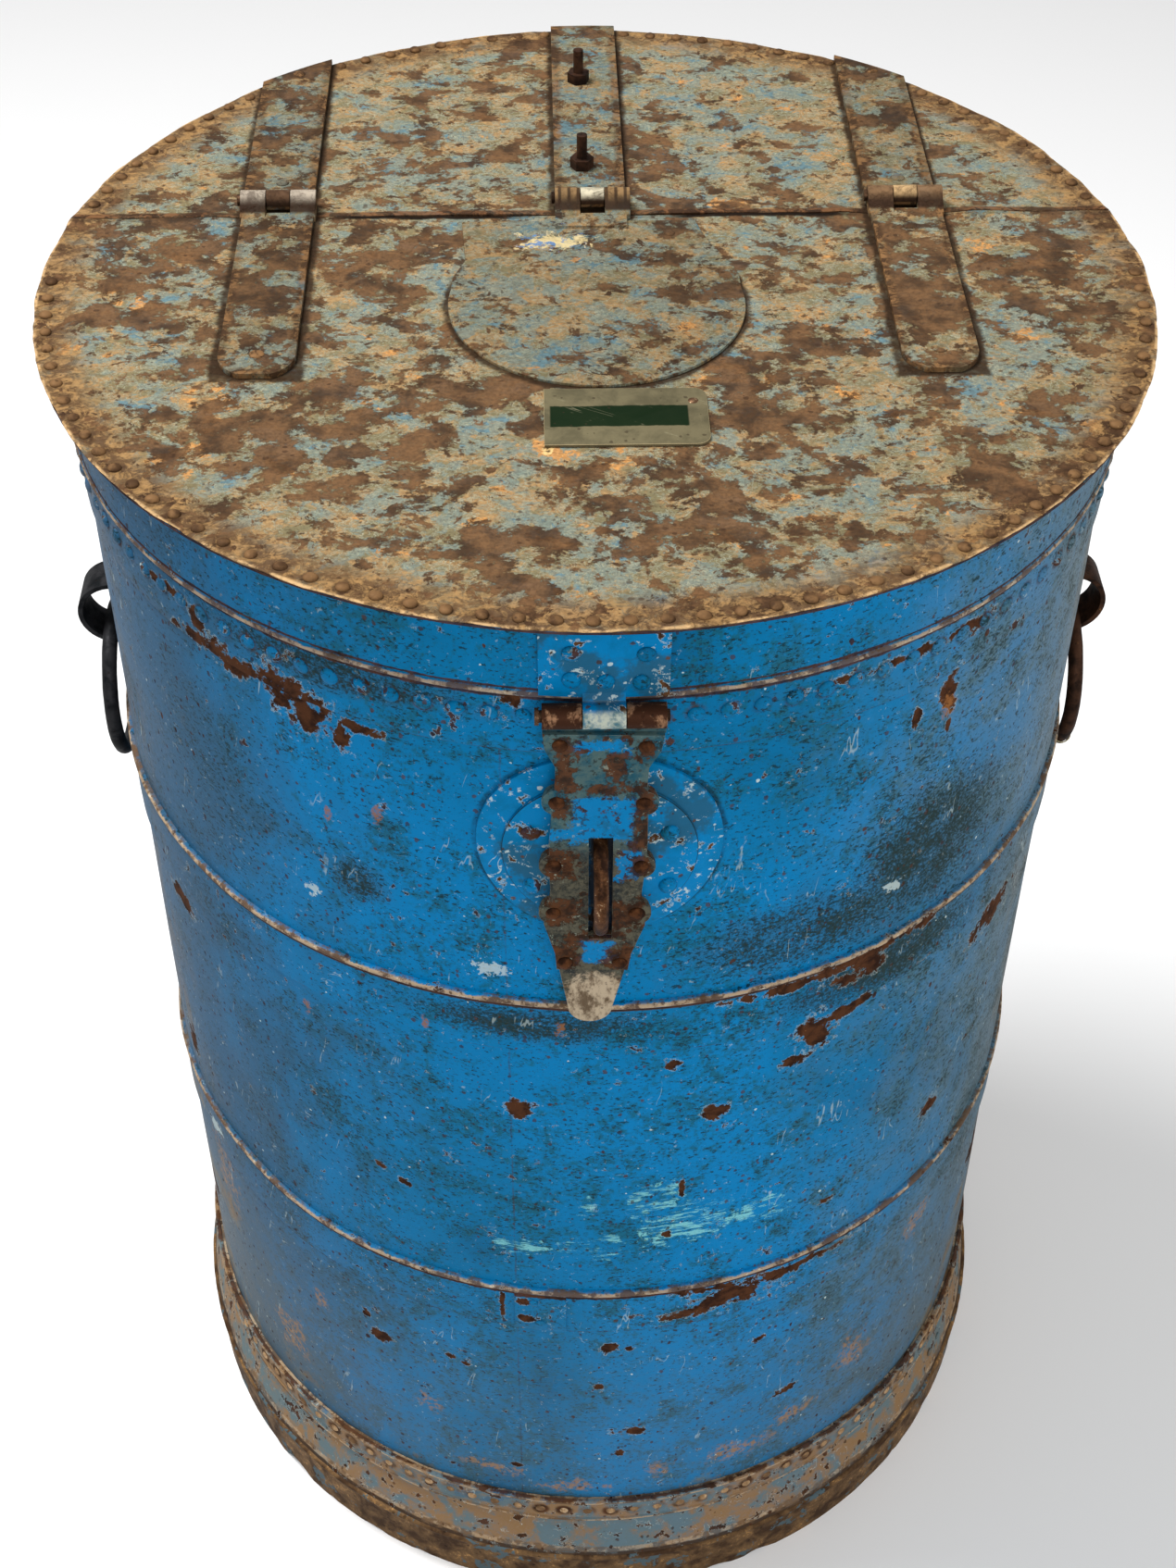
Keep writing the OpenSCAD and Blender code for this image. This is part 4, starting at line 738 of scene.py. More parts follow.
upperHoopTop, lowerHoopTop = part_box("upper_hoop")[1][2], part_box("lower_hoop")[1][2]
finish = {
    "wall": bluePaint("wallPaint", 0.12, 0.3, seamAndDiscShade=True),
    # the dark lines at each hoop's lower end are partly rust and partly painted shade under the hoop
    "hoop": bluePaint("hoopPaint", 0.22, 0.5, edges=[(upperHoopTop - 5 * mm, 0.9 * mm, 0.5),
            (lowerHoopTop - 5.5 * mm, 1.6 * mm, 0.8), (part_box("lower_hoop")[0][2], 0.9 * mm, 0.4),
            (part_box("upper_hoop")[0][2], 0.6 * mm, 0.3)], lines=[(upperHoopTop - 1.8 * mm, 2.1 * mm, 0.95),
            (lowerHoopTop - 1.8 * mm, 2.1 * mm, 0.9)], spans=[(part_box("upper_hoop")[0][2], upperHoopTop),
            (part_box("lower_hoop")[0][2], lowerHoopTop)]),
    "collar": bluePaint("collarPaint", 0.3, 0.35,
        rows=[(collarRivetZ, float(rivetCount), collarR, 5.2 * mm, 0.85)],
        edges=[(collarLow, 0.5 * mm, 0.25), (collarHigh, 2.4 * mm, 0.5)], spans=[(collarLow, collarHigh)]),
    "skirt": bluePaint("skirtPaint", 0.16, 0.3, edges=[(drop(3), 1.5 * mm, 0.6),
            (skirtLow + 4.6 * mm, 0.7 * mm, 0.3)], lines=[(skirtLow + 2.0 * mm, 1.9 * mm, 0.85)],
        spans=[(skirtLow, topZ)]),
    "base": bluePaint("basePaint", 0.6, 0.6,
        rows=[(baseHoopLow + 12.5 * mm, float(baseRivetCount), wallR, 5.6 * mm, 0.95)],
        edges=[(baseHoopHigh + 0.5 * mm, 0.8 * mm, 0.5), (baseHoopLow - 1.0 * mm, 1.2 * mm, 0.5)],
        lines=[(baseHoopHigh - 1.6 * mm, 1.2 * mm, 0.8), (baseHoopLow + 1.6 * mm, 1.2 * mm, 0.8),
            (footHigh - 1.5 * mm, 3.4 * mm, 0.9), (footHigh + 6 * mm, 3.0 * mm, 0.6)], lowWear=0.46,
        wornTone=rgb(146, 112, 72), spans=[(0, baseHoopHigh)]),
    "blueRivet": bluePaint("rivetPaint", 0.6, 0.5, patches=False, gloss=0.42),
    "hardware": bluePaint("hardwarePaint", 0.65, 0.6, patches=False),
    "top": topPatina("topPatina", 0.5, 0.55, 0.6, halos=["lid_strap_left", "lid_strap_right",
            "centre_plate"], joint=(lidEdgeY, 1)),
    "rearTop": topPatina("rearTopPatina", 0.4, 0.55, 0.5, True, (3, 9, 1),
        halos=["rear_strap_left", "rear_strap_middle", "rear_strap_right"], joint=(rearEdgeY, -1)),
    "plate": topPatina("plateFinish", 0.4, 0.62, 0.3, False, (6, 4, 2), 1.3, tint=0.78,
        hinge="centre_plate", knuckle=rgb(150, 118, 80)),
    "strapLeft": topPatina("strapLeftFinish", 0.62, 0.62, 0.15, False, (2, 5, 8), 1.3, "lid_strap_left",
        tint=0.8, knuckle=rgb(186, 172, 154)),
    "strapRight": topPatina("strapRightFinish", 0.66, 0.1, 0.4, False, (7, 1, 3), 1.3, "lid_strap_right",
        tint=1.0, knuckle=rgb(120, 92, 66)),
    "strapRearLeft": topPatina("strapRearLeftFinish", 0.5, 0.7, 0.2, False, (1, 2, 6), 1.3,
        "rear_strap_left", tint=0.8),
    "strapRear": topPatina("strapRearFinish", 0.45, 0.85, 0.25, False, (1, 2, 6), 1.3, "rear_strap_middle",
        tint=0.85, knuckle=rgb(214, 204, 176)),
    "strapRearRight": topPatina("strapRearRightFinish", 0.5, 0.45, 0.4, False, (1, 2, 6), 1.3,
        "rear_strap_right", tint=0.8, knuckle=rgb(206, 170, 122)),
    "baseBead": rustyIron("baseBeadFinish", rgb(108, 82, 58), rgb(170, 138, 102), rgb(208, 182, 148), 0.8,
        60.0, 0.6, 0.1),
    "rimRivet": rustyIron("rimRivetFinish", rgb(70, 50, 34), rgb(118, 88, 58), rgb(172, 134, 88), 0.6, 70.0,
        0.6, 0.1),
    "iron": rustyIron("darkIron", rgb(30, 22, 18), rgb(66, 44, 32), rgb(168, 118, 66), 0.55),
    "ironBlack": rustyIron("blackIron", rgb(20, 22, 24), rgb(44, 44, 46), rgb(120, 104, 84), 0.4),
    "haspIron": rustyIron("haspIron", rgb(40, 24, 16), rgb(86, 52, 30), rgb(190, 130, 76), 0.6, 110.0),
    "pinIron": rustyIron("pinIron", rgb(40, 28, 20), rgb(90, 66, 48), rgb(200, 168, 130), 0.7, 120.0, 0.42,
        0.5),
    "inside": rustyIron("insideRust", rgb(52, 34, 24), rgb(98, 66, 44), rgb(150, 100, 62), 0.4, 30.0, 0.75,
        0.1),
}
print("finishes made:", len(finish))


haspX = middle("hasp_strap").x + 3 * mm
# Blocks on the hasp: across, drop, half width and half height in millimetres
haspAzure = [(0, 119, 15.5, 15), (0, 213, 8, 8), (-4, 72, 14, 3), (13, 150, 6, 10), (-9, 128, 18, 3)]
haspBrown = [(-19.5, 84, 4.5, 17), (4, 86, 4, 10), (5, 99, 14, 3), (19, 73, 4.5, 5), (-21, 112, 5, 5),
    (20, 110, 4.5, 9), (19, 128, 5, 12), (-20, 150, 7, 9), (18, 152, 5, 7), (-18, 184, 8, 9),
    (14, 186, 9, 9), (-17, 216, 8, 9), (11, 218, 8, 9), (0, 200, 16, 3.5)]


def haspFinish(name, bareBelow):  # paint left at the top, rust round the slot, and a bare scratched tip
    look = bluePaintLook
    made, tree, shader, place = startMaterial(name)
    parts = axes(tree, place)
    height = parts[2]
    leaning = times(tree, minus(tree, height, drop(60)), 0.028)
    x = minus(tree, minus(tree, parts[0], leaning), haspX)
    edge = attribute(tree, "edge")
    mottle = noiseAt(tree, place, 70.0, 8.0, 0.68, 0.3)
    ragged = noiseAt(tree, place, 150.0, 8.0, 0.8, 0.3)
    rust = rustAt(tree, place, 130.0, 0.35, rgb(46, 28, 18), rgb(88, 54, 32), rgb(172, 118, 76))
    scraped = noiseAt(tree, stretched(tree, place, (1, 1, 0.5), (0, 0, 0), (0, 0.3, 0)), 150.0, 7.0, 0.7)
    steel = mixColour(tree, ramp(tree, scraped, 0.4, 0.58), rgb(104, 86, 66), rgb(190, 172, 146))

    def blocks(places):
        found = 0.0
        for across, down, halfWide, halfTall in places:
            found = calc(tree, "MAXIMUM", useGroup(tree, haspBlock, {
                "X": x, "Height": height, "Ragged": ragged, "At X": across * mm, "At Height": drop(down),
                "Half Width": halfWide * mm, "Half Height": halfTall * mm})["Mask"], found)
        return found

    teal = mixColour(tree, ramp(tree, mottle, 0.4, 0.58), rgb(34, 80, 96), rgb(76, 100, 100))
    sooty = ramp(tree, height, drop(126), drop(150))
    under = mixColour(tree, times(tree, sooty, 0.85), teal, mixColour(
        tree, ramp(tree, ragged, 0.42, 0.58), rgb(48, 42, 34), rgb(92, 84, 66)))
    azure = blocks(haspAzure)
    colour = mixColour(tree, times(tree, azure, ramp(tree, mottle, 0.34, 0.46, 0.4, 0.95)), under,
        look["bright"])
    brown = biggest(tree, blocks(haspBrown), ramp(tree, noiseAt(tree, place, 95.0, 8.0, 0.7, 0.2), 0.6, 0.62))
    colour = mixColour(tree, times(tree, brown, 0.94), colour, rust["Colour"])
    flecks = ramp(tree, noiseAt(tree, place, 210.0, 6.0, 0.72), 0.56, 0.62, 0, 0.7)
    colour = mixColour(tree, flecks, colour, rgb(40, 42, 38))
    glints = ramp(tree, noiseAt(tree, stretched(tree, place, shift=(4, 1, 2)), 230.0, 6.0, 0.72), 0.62,
        0.67, 0, 0.6)
    colour = mixColour(tree, glints, colour, rgb(156, 166, 150))
    wander = sway(tree, mottle, 50 * mm)
    bare = ramp(tree, minus(tree, bareBelow, plus(tree, height, wander)), -2 * mm, 4 * mm)
    colour = mixColour(tree, times(tree, bare, 0.94), colour, steel)
    worn = ramp(tree, noiseAt(tree, place, 90.0, 5.0, 0.6), 0.42, 0.56)
    colour = mixColour(tree, times(tree, times(tree, edge, worn), 0.75), colour, rgb(168, 170, 150))
    barrel = ramp(tree, height, drop(62.5), drop(61.5))
    ironTone = mixColour(tree, ramp(tree, scraped, 0.5, 0.64), rgb(62, 38, 26), rgb(150, 112, 84))
    colour = mixColour(tree, barrel, colour, ironTone)
    pits = maskOf(tree, specks, place, 420.0, 0.4)
    colour = mixColour(tree, times(tree, pits, 0.5), colour, rgb(34, 24, 18))
    surface = plus(tree, times(tree, rust["Height"], 0.5), times(tree, scraped, 0.4))
    surface = plus(tree, surface, times(tree, minus(tree, 1.0, brown), 0.35))
    metal = times(tree, biggest(tree, bare, barrel), 0.45)
    finishMaterial(tree, shader, colour, ramp(tree, bare, 0, 1, 0.55, 0.42), surface, 0.7, 0.8 * mm, metal)
    return made


def edgedPaint(name, chips, edgeShadeTone, edgeLevel=0.45, tealness=0.35, scrapedBelow=0.0,
               shadeBehindHasp=False):  # painted ironwork, its edges darkened with painted shade
    look = bluePaintLook
    made, tree, shader, place = startMaterial(name)
    edge = attribute(tree, "edge")
    mottle = noiseAt(tree, place, 60.0, 8.0, 0.68, 0.3)
    grit = noiseAt(tree, place, 520.0, 4.0, 0.6)
    colour = mixColour(tree, ramp(tree, mottle, 0.38, 0.6), look["azure"], look["bright"])
    colour = mixColour(tree, ramp(tree, noiseAt(tree, place, 26.0, 7.0, 0.66), 0.6 - tealness * 0.25,
            0.68 - tealness * 0.25, 0, 0.8), colour, rgb(36, 84, 108))
    flakes = useGroup(tree, paintChips, {"Position": place, "Scale": 85.0, "Amount": chips, "Rim": 0.03})
    rust = useGroup(tree, rustTone, {"Position": place, "Scale": 120.0, "Warmth": 0.5})
    dots = maskOf(tree, specks, place, 190.0, 0.3)
    white = maskOf(tree, specks, stretched(tree, place, shift=(2, 7, 1)), 150.0, 0.24)
    chipped = ramp(tree, noiseAt(tree, stretched(tree, place, (1, 1, 1.4), (1, 3, 2)), 95.0, 7.0, 0.72),
        0.6, 0.63)
    lines = maskOf(tree, thinScratches, stretched(tree, place, turn=(0, 1.2, 0.3)), 90.0, 0.4)
    colour = mixColour(tree, times(tree, biggest(tree, white, chipped, lines,
                times(tree, flakes["Rim"], 0.6)), 0.75), colour, look["pale"])
    bare = biggest(tree, flakes["Bare"], times(tree, dots, 0.8))
    colour = mixColour(tree, bare, colour, rust["Colour"])
    # painted shade along the bevelled edges
    worn = ramp(tree, noiseAt(tree, place, 80.0, 6.0, 0.62), edgeLevel - 0.05, edgeLevel + 0.04)
    colour = mixColour(tree, times(tree, times(tree, edge, worn), 0.85), colour, edgeShadeTone)
    parts = axes(tree, place)
    height = parts[2]
    # painted shade on the disc where the hasp hangs in front of it
    if shadeBehindHasp:
        aside = gap(tree, parts[0], haspX + 2 * mm)
        aside = plus(tree, aside, sway(tree, mottle, 8 * mm))
        colour = mixColour(tree, ramp(tree, aside, 13 * mm, 9 * mm, 0, 0.92), colour, rgb(34, 28, 24))
    scraped = times(tree, ramp(tree, height, scrapedBelow, scrapedBelow - 1.5 * mm),
        ramp(tree, grit, 0.36, 0.56, 0.55, 0.95))
    colour = mixColour(tree, scraped, colour, mixColour(tree, ramp(tree, mottle, 0.44, 0.56),
            rgb(92, 122, 124), rgb(186, 192, 176)))
    surface = plus(tree, times(tree, grit, 0.2), times(tree, mottle, 0.3))
    surface = minus(tree, surface, times(tree, bare, 0.4))
    finishMaterial(tree, shader, colour, ramp(tree, bare, 0, 1, 0.38, 0.7), surface, 0.5, 0.7 * mm)
    return made


def tagFinish(name):  # dull plate with a plain painted band
    made, tree, shader, place = startMaterial(name)
    parts = axes(tree, place)
    low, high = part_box("tag_plate")
    blotch = noiseAt(tree, place, 60.0, 7.0, 0.65, 0.3)
    grit = noiseAt(tree, place, 600.0, 4.0, 0.6)
    colour = mixColour(tree, ramp(tree, blotch, 0.36, 0.62), rgb(86, 80, 60), rgb(106, 98, 74))
    away = gap(tree, parts[1], (low[1] + high[1]) / 2)
    away = plus(tree, away, sway(tree, blotch, 3 * mm))
    across = gap(tree, parts[0], (low[0] + high[0]) / 2 - 3.5 * mm)
    stripe = times(tree, ramp(tree, away, 9.5 * mm, 8.5 * mm), ramp(tree, across, 35 * mm, 34 * mm))
    colour = mixColour(tree, times(tree, stripe, 0.96), colour, rgb(8, 30, 12))
    lines = maskOf(tree, thinScratches, stretched(tree, place, turn=(0, 0, 0.5)), 110.0, 0.5)
    colour = mixColour(tree, times(tree, lines, 0.35), colour, rgb(150, 144, 116))
    spots = maskOf(tree, specks, place, 260.0, 0.3)
    colour = mixColour(tree, times(tree, spots, 0.6), colour, rgb(52, 42, 32))
    edge = attribute(tree, "edge")
    colour = mixColour(tree, times(tree, edge, 0.8), colour, rgb(206, 184, 140))
    finishMaterial(tree, shader, colour, ramp(tree, blotch, 0.3, 0.7, 0.5, 0.66), grit, 0.35, 0.3 * mm, 0.25)
    return made


finish.update({
    "foot": rustyIron("footIron", rgb(66, 48, 34), rgb(112, 86, 58), rgb(182, 138, 84), 0.75, 60.0, 0.55,
        0.15, rgb(80, 96, 102), 0.12),
    "tag": tagFinish("tagFinish"),
    "hanger": edgedPaint("hangerPaint", 0.34, rgb(34, 50, 50), 0.36, 0.6, drop(48.6)),
    "haspPaint": haspFinish("haspPaint", drop(290)),
    "haspTip": haspFinish("haspTip", drop(238)),
    "stapleDisc": edgedPaint("stapleDiscPaint", 0.34, rgb(20, 40, 46), 0.3, 0.3, shadeBehindHasp=True),
    "staple": rustyIron("stapleIron", rgb(44, 28, 20), rgb(98, 64, 40), rgb(206, 176, 140), 0.75, 120.0,
        0.4, 0.5),
    "binding": rustyIron("bindingIron", rgb(110, 100, 78), rgb(170, 158, 126), rgb(222, 208, 170), 0.7,
        140.0, 0.6, 0.0),
})
print("single finishes made")


def addObject(name, data):
    made = bpy.data.objects.new(name, data)
    bpy.context.scene.collection.objects.link(made)
    return made


def shadeSmooth(mesh, angle):
    mesh.polygons.foreach_set("use_smooth", [True] * len(mesh.polygons))
    mesh.set_sharp_from_angle(angle=math.radians(angle))


def arcPoints(r, z, across, up, start=-80, sweep=160, steps=8):  # a rounded part of a section
    turns = [math.radians(start + sweep * i / steps) for i in range(steps + 1)]
    return [(r + across * math.cos(t), z + up * math.sin(t)) for t in turns]


def makeObject(name, verts, faces, smoothAngle=35):
    mesh = bpy.data.meshes.new(name)
    mesh.from_pydata(verts, [], faces)
    work = bmesh.new()
    work.from_mesh(mesh)
    bmesh.ops.remove_doubles(work, verts=work.verts, dist=1e-6)
    bmesh.ops.recalc_face_normals(work, faces=work.faces)
    work.to_mesh(mesh)
    work.free()
    shadeSmooth(mesh, smoothAngle)
    return addObject(name, mesh)


def markInside(made):  # faces that look into the drum are never painted
    mesh = made.data
    inside = []
    for face in mesh.polygons:
        spot, facing = face.center, face.normal
        reach = math.hypot(spot.x, spot.y)
        inward = spot.x * facing.x + spot.y * facing.y < -0.5 * reach and reach > 0.9 * wallR
        inside.append(1.0 if inward or (facing.z < -0.7 and spot.z > drop(12)) else 0.0)
    mesh.attributes.new("inside", "FLOAT", "FACE").data.foreach_set("value", inside)


# a finished piece takes its finish, its body and its CAD nodes
def settle(made, body, slotName, look, *nodes):
    if isinstance(look, str) and look in ("wall", "skirt", "base", "top", "rearTop"):
        markInside(made)
    made.data.materials.clear()
    made.data.materials.append(finish[look] if isinstance(look, str) else look)
    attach(made, body)
    if nodes:
        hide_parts(*nodes)
    return made


def bakeModifiers(made):
    evaluated = made.evaluated_get(bpy.context.evaluated_depsgraph_get())
    mesh = bpy.data.meshes.new_from_object(evaluated)
    made.modifiers.clear()
    made.data = mesh
    return made


# kept true: angle, drop, half angle, half height
quiet = [(0, 150, 17, 75), (-90, 215, 12, 60), (90, 215, 12, 60)]
dents = [(-31, 398, 2.6, 10, 60), (18, 455, 2.2, 12, 50), (-52, 470, 2.4, 9, 70), (34, 380, -1.0, 8, 30),
         (48, 640, 2.6, 12, 50), (-16, 690, 1.8, 9, 30), (-66, 205, 1.6, 9, 40), (30, 180, 1.4, 8, 34),
         (150, 400, 3.0, 14, 80), (-140, 640, 2.6, 12, 50), (110, 560, 2.4, 12, 60), (-112, 420, 2.0, 10, 60)]


def wallWave(angle, z):  # how far the hand-made wall lies off a true cylinder
    a = math.radians(angle)
    down = (topZ - z) / mm
    spot = Vector((math.sin(a) * 2.1, math.cos(a) * 2.1, z * 3.0))
    wave = noise.noise(spot) * 0.9 + noise.noise(spot * 3.1 + Vector((5, 2, 1))) * 0.45
    for at, deep, depth, halfAngle, halfHeight in dents:
        off = (angle - at + 180) % 360 - 180
        wave -= depth * math.exp(-(off / halfAngle) ** 2 - ((down - deep) / halfHeight) ** 2)
    calm = 1.0
    for at, deep, halfAngle, halfHeight in quiet:
        off = (angle - at + 180) % 360 - 180
        calm = min(calm, max(0.0, ((off / halfAngle) ** 2 + ((down - deep) / halfHeight) ** 2) - 0.9))
    calm *= min(1.0, max(0.0, (down - 88) / 60)) * min(1.0, max(0.0, (z - 0.11) / 0.05))
    return wave * min(calm, 1.0) * mm


def revolve(name, profile, arc=(-180, 180), steps=360, uneven=0.0, seed=0, wave=True):
    whole = arc[1] - arc[0] >= 360
    columns = steps if whole else steps + 1
    verts, faces = [], []
    for i in range(columns):
        angle = arc[0] + (arc[1] - arc[0]) * i / steps
        a = math.radians(angle)
        for r, z in profile:
            rough = noise.noise(Vector((math.sin(a) * 9 + seed, math.cos(a) * 9, z * 30))) * uneven
            rough += noise.noise(Vector((math.sin(a) * 40 + seed, math.cos(a) * 40, z * 90))) * uneven * 0.5
            reach = r + rough + (wallWave(angle, z) if wave else 0)
            verts.append((reach * math.sin(a), -reach * math.cos(a), z))
    n = len(profile)
    for i in range(steps):
        one, two = i * n, ((i + 1) % columns) * n
        faces += [(one + j, one + (j + 1) % n, two + (j + 1) % n, two + j) for j in range(n)]
    if not whole:
        faces += [tuple(range(n)), tuple(range((columns - 1) * n, columns * n))]
    return makeObject(name, verts, faces)


def band(inner, outer, low, high, soft=0.5 * mm, rows=1):  # rounded section of a strip lying on the wall
    points = [(inner, low), (outer - soft, low), (outer - soft * 0.3, low + soft * 0.3)]
    points += [(outer, low + soft + (high - low - 2 * soft) * i / rows) for i in range(rows + 1)]
    return points + [(outer - soft * 0.3, high - soft * 0.3), (outer - soft, high), (inner, high)]


def beadedBand(inner, outer, low, high, rise):  # a strip whose top edge is beaten into a bead
    points = [(inner, low), (outer - 0.6 * mm, low), (outer, low + 0.6 * mm)]
    points += [(outer, low + 2 * mm + (high - low - 7 * mm) * i / 4) for i in range(5)]
    centre, radius = high - 2.2 * mm, 2.2 * mm
    points += arcPoints(outer - 0.6 * mm, centre, rise + 0.6 * mm, radius, -75, 165)
    return points + [(inner, high)]


wall = {"thick": 2 * mm, "rows": 104, "rowsInside": 16, "mouthSteps": 180, "hoopUneven": 0.25 * mm,
        "collarUneven": 0.2 * mm, "lapArc": (-10.8, -4.4), "lapUneven": 0.3 * mm}


def makeWall():
    inner = wallR - wall["thick"]
    rows, few = wall["rows"], wall["rowsInside"]
    outside = [(wallR, wallLow + (wallHigh - wallLow) * i / rows) for i in range(rows + 1)]
    inside = [(inner, wallHigh - (wallHigh - wallLow) * i / few) for i in range(few + 1)]
    settle(revolve("drumSheet", outside + inside), "drum", "blue_paint", "wall", "body_shell")
    for node in ("upper_hoop", "lower_hoop"):
        low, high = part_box(node)[0][2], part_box(node)[1][2]
        section = beadedBand(wallR - 0.3 * mm, wallR + 1.8 * mm, low, high, 1.5 * mm)
        made = revolve(node + "Strip", section, uneven=wall["hoopUneven"], seed=low * 50)
        if node == "upper_hoop":
            settle(made, "drum", "blue_paint", "hoop", node)
        else:
            settle(made, "drum", "blue_paint", "hoop")
            lap = band(wallR + 1.6 * mm, wallR + 3.2 * mm, low + 1 * mm, high - 1.5 * mm, 0.6 * mm, 5)
            settle(revolve("lowerHoopLap", lap, wall["lapArc"], 16, wall["lapUneven"], 4), "drum",
                "blue_paint", "hoop", node)
    section = band(wallR - 0.3 * mm, collarR, collarLow, collarHigh, 0.6 * mm, 5)
    settle(revolve("collarStrip", section, uneven=wall["collarUneven"], seed=9), "drum", "blue_paint",
        "collar", "collar_band")
    low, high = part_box("mouth_ring")[0][2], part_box("mouth_ring")[1][2]
    section = band(wallR - 4 * mm, wallR - 1.9 * mm, low, high, 0.3 * mm, 2)
    settle(revolve("mouthStrip", section, steps=wall["mouthSteps"]), "drum", "bare_rust", "inside",
        "mouth_ring")


makeWall()
print("wall and hoops made")


def makeRivetTree():  # one Geometry Nodes tree sets a rivet head on every point
    tree = bpy.data.node_groups.new("rivetHeads", "GeometryNodeTree")
    plug = tree.interface.new_socket
    plug(name="Geometry", in_out="INPUT", socket_type="NodeSocketGeometry")
    for label, kind in (("Unevenness", "NodeSocketFloat"), ("Tilt", "NodeSocketFloat"),
        ("Seed", "NodeSocketInt"), ("Finish", "NodeSocketMaterial")):
        plug(name=label, in_out="INPUT", socket_type=kind)
    plug(name="Geometry", in_out="OUTPUT", socket_type="NodeSocketGeometry")
    given = tree.nodes.new("NodeGroupInput").outputs
    axis = addNode(tree, "GeometryNodeInputNamedAttribute", {"Name": "axis"},
        data_type="FLOAT_VECTOR").outputs["Attribute"]
    size = addNode(tree, "GeometryNodeInputNamedAttribute", {"Name": "size"},
        data_type="FLOAT_VECTOR").outputs["Attribute"]
    lean = addNode(tree, "FunctionNodeRandomValue", {"Min": (-1, -1, -1), "Max": (1, 1, 1),
            "Seed": given["Seed"]}, data_type="FLOAT_VECTOR").outputs["Value"]
    lean = addNode(tree, "ShaderNodeVectorMath", {0: lean, "Scale": given["Tilt"]},
        operation="SCALE").outputs[0]
    leaning = addNode(tree, "ShaderNodeVectorMath", {0: axis, 1: lean}, operation="ADD").outputs[0]
    turned = addNode(tree, "FunctionNodeAlignRotationToVector", {"Vector": leaning},
        axis="Z").outputs["Rotation"]
    swell = addNode(tree, "FunctionNodeRandomValue", {"Min": (-1, -1, -1), "Max": (1, 1, 1),
            "Seed": given["Seed"]}, data_type="FLOAT_VECTOR").outputs["Value"]
    swell = addNode(tree, "ShaderNodeVectorMath", {0: swell, "Scale": given["Unevenness"]},
        operation="SCALE").outputs[0]
    swell = addNode(tree, "ShaderNodeVectorMath", {0: swell, 1: (1, 1, 1)}, operation="ADD").outputs[0]
    grown = addNode(tree, "ShaderNodeVectorMath", {0: size, 1: swell}, operation="MULTIPLY").outputs[0]
    head = addNode(tree, "GeometryNodeMeshUVSphere", {"Segments": 14, "Rings": 8, "Radius": 1.0}).outputs[
        "Mesh"]
    placed = addNode(tree, "GeometryNodeInstanceOnPoints",
        {"Points": given["Geometry"], "Instance": head, "Rotation": turned, "Scale": grown}).outputs[
        "Instances"]
    real = addNode(tree, "GeometryNodeRealizeInstances", {"Geometry": placed}).outputs["Geometry"]
    smooth = addNode(tree, "GeometryNodeSetShadeSmooth", {"Geometry": real}).outputs["Geometry"]
    done = addNode(tree, "GeometryNodeSetMaterial",
        {"Geometry": smooth, "Material": given["Finish"]}).outputs["Geometry"]
    tree.links.new(done, tree.nodes.new("NodeGroupOutput").inputs["Geometry"])
    return tree


def islandsOf(node):  # the separate solids of a CAD node, each as a list of points
    work = bmesh.new()
    work.from_mesh(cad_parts[node].data)
    bmesh.ops.remove_doubles(work, verts=work.verts, dist=1e-5)
    unseen, islands = set(work.verts), []
    while unseen:
        queue, island = [unseen.pop()], []
        while queue:
            vert = queue.pop()
            island.append(vert.co.copy())
            for edge in vert.link_edges:
                other = edge.other_vert(vert)
                if other in unseen:
                    unseen.remove(other)
                    queue.append(other)
        islands.append(island)
    work.free()
    return sorted(islands, key=lambda island: (round(island[0].x, 4), round(island[0].y, 4)))


def rivetSpots(node, facing, headHigh, tailHigh):
    spots = []
    for island in islandsOf(node):
        centre = sum(island, Vector()) / len(island)
        for attempt in range(2):  # the points lie unevenly, so the middle is taken between their limits
            axis = Vector((centre.x, centre.y, 0)).normalized() if facing == "out" else Vector(facing)
            side = axis.orthogonal().normalized()
            for way in (side, axis.cross(side)):
                along = [point.dot(way) for point in island]
                centre += way * ((max(along) + min(along)) / 2 - centre.dot(way))
        for way, high in ((axis, headHigh), (-axis, tailHigh)):
            if high == 0:
                continue
            along = [(point - centre).dot(way) for point in island]
            ends = [point - centre for point, far in zip(island, along) if far > max(along) - high - 0.1 * mm]
            reach = max((end - way * end.dot(way)).length for end in ends)
            base = centre + way * (max(along) - high)
            if facing == "out":
                base += axis * wallWave(math.degrees(math.atan2(base.x, -base.y)), base.z)
            spots.append((base, way, (reach, reach, high)))
    return spots


rivetTree = makeRivetTree()
rivetItems = rivetTree.interface.items_tree
rivetSocket = {item.name: item.identifier for item in rivetItems if item.in_out == "INPUT"}


def makeRivets(name, node, body, slotName, look, facing, headHigh, tailHigh=0.0, unevenness=0.1, tilt=0.08,
    seed=1):
    spots = rivetSpots(node, facing, headHigh * mm, tailHigh * mm)
    mesh = bpy.data.meshes.new(name)
    mesh.from_pydata([tuple(base) for base, way, size in spots], [], [])
    for label, column in (("axis", 1), ("size", 2)):
        values = mesh.attributes.new(label, "FLOAT_VECTOR", "POINT")
        values.data.foreach_set("vector", [number for spot in spots for number in spot[column]])
    made = addObject(name, mesh)
    heads = made.modifiers.new("heads", "NODES")
    heads.node_group = rivetTree
    for label, value in (("Unevenness", unevenness), ("Tilt", tilt), ("Seed", seed),
        ("Finish", finish[look])):
        heads[rivetSocket[label]] = value
    bakeModifiers(made)
    settle(made, body, slotName, look, node)


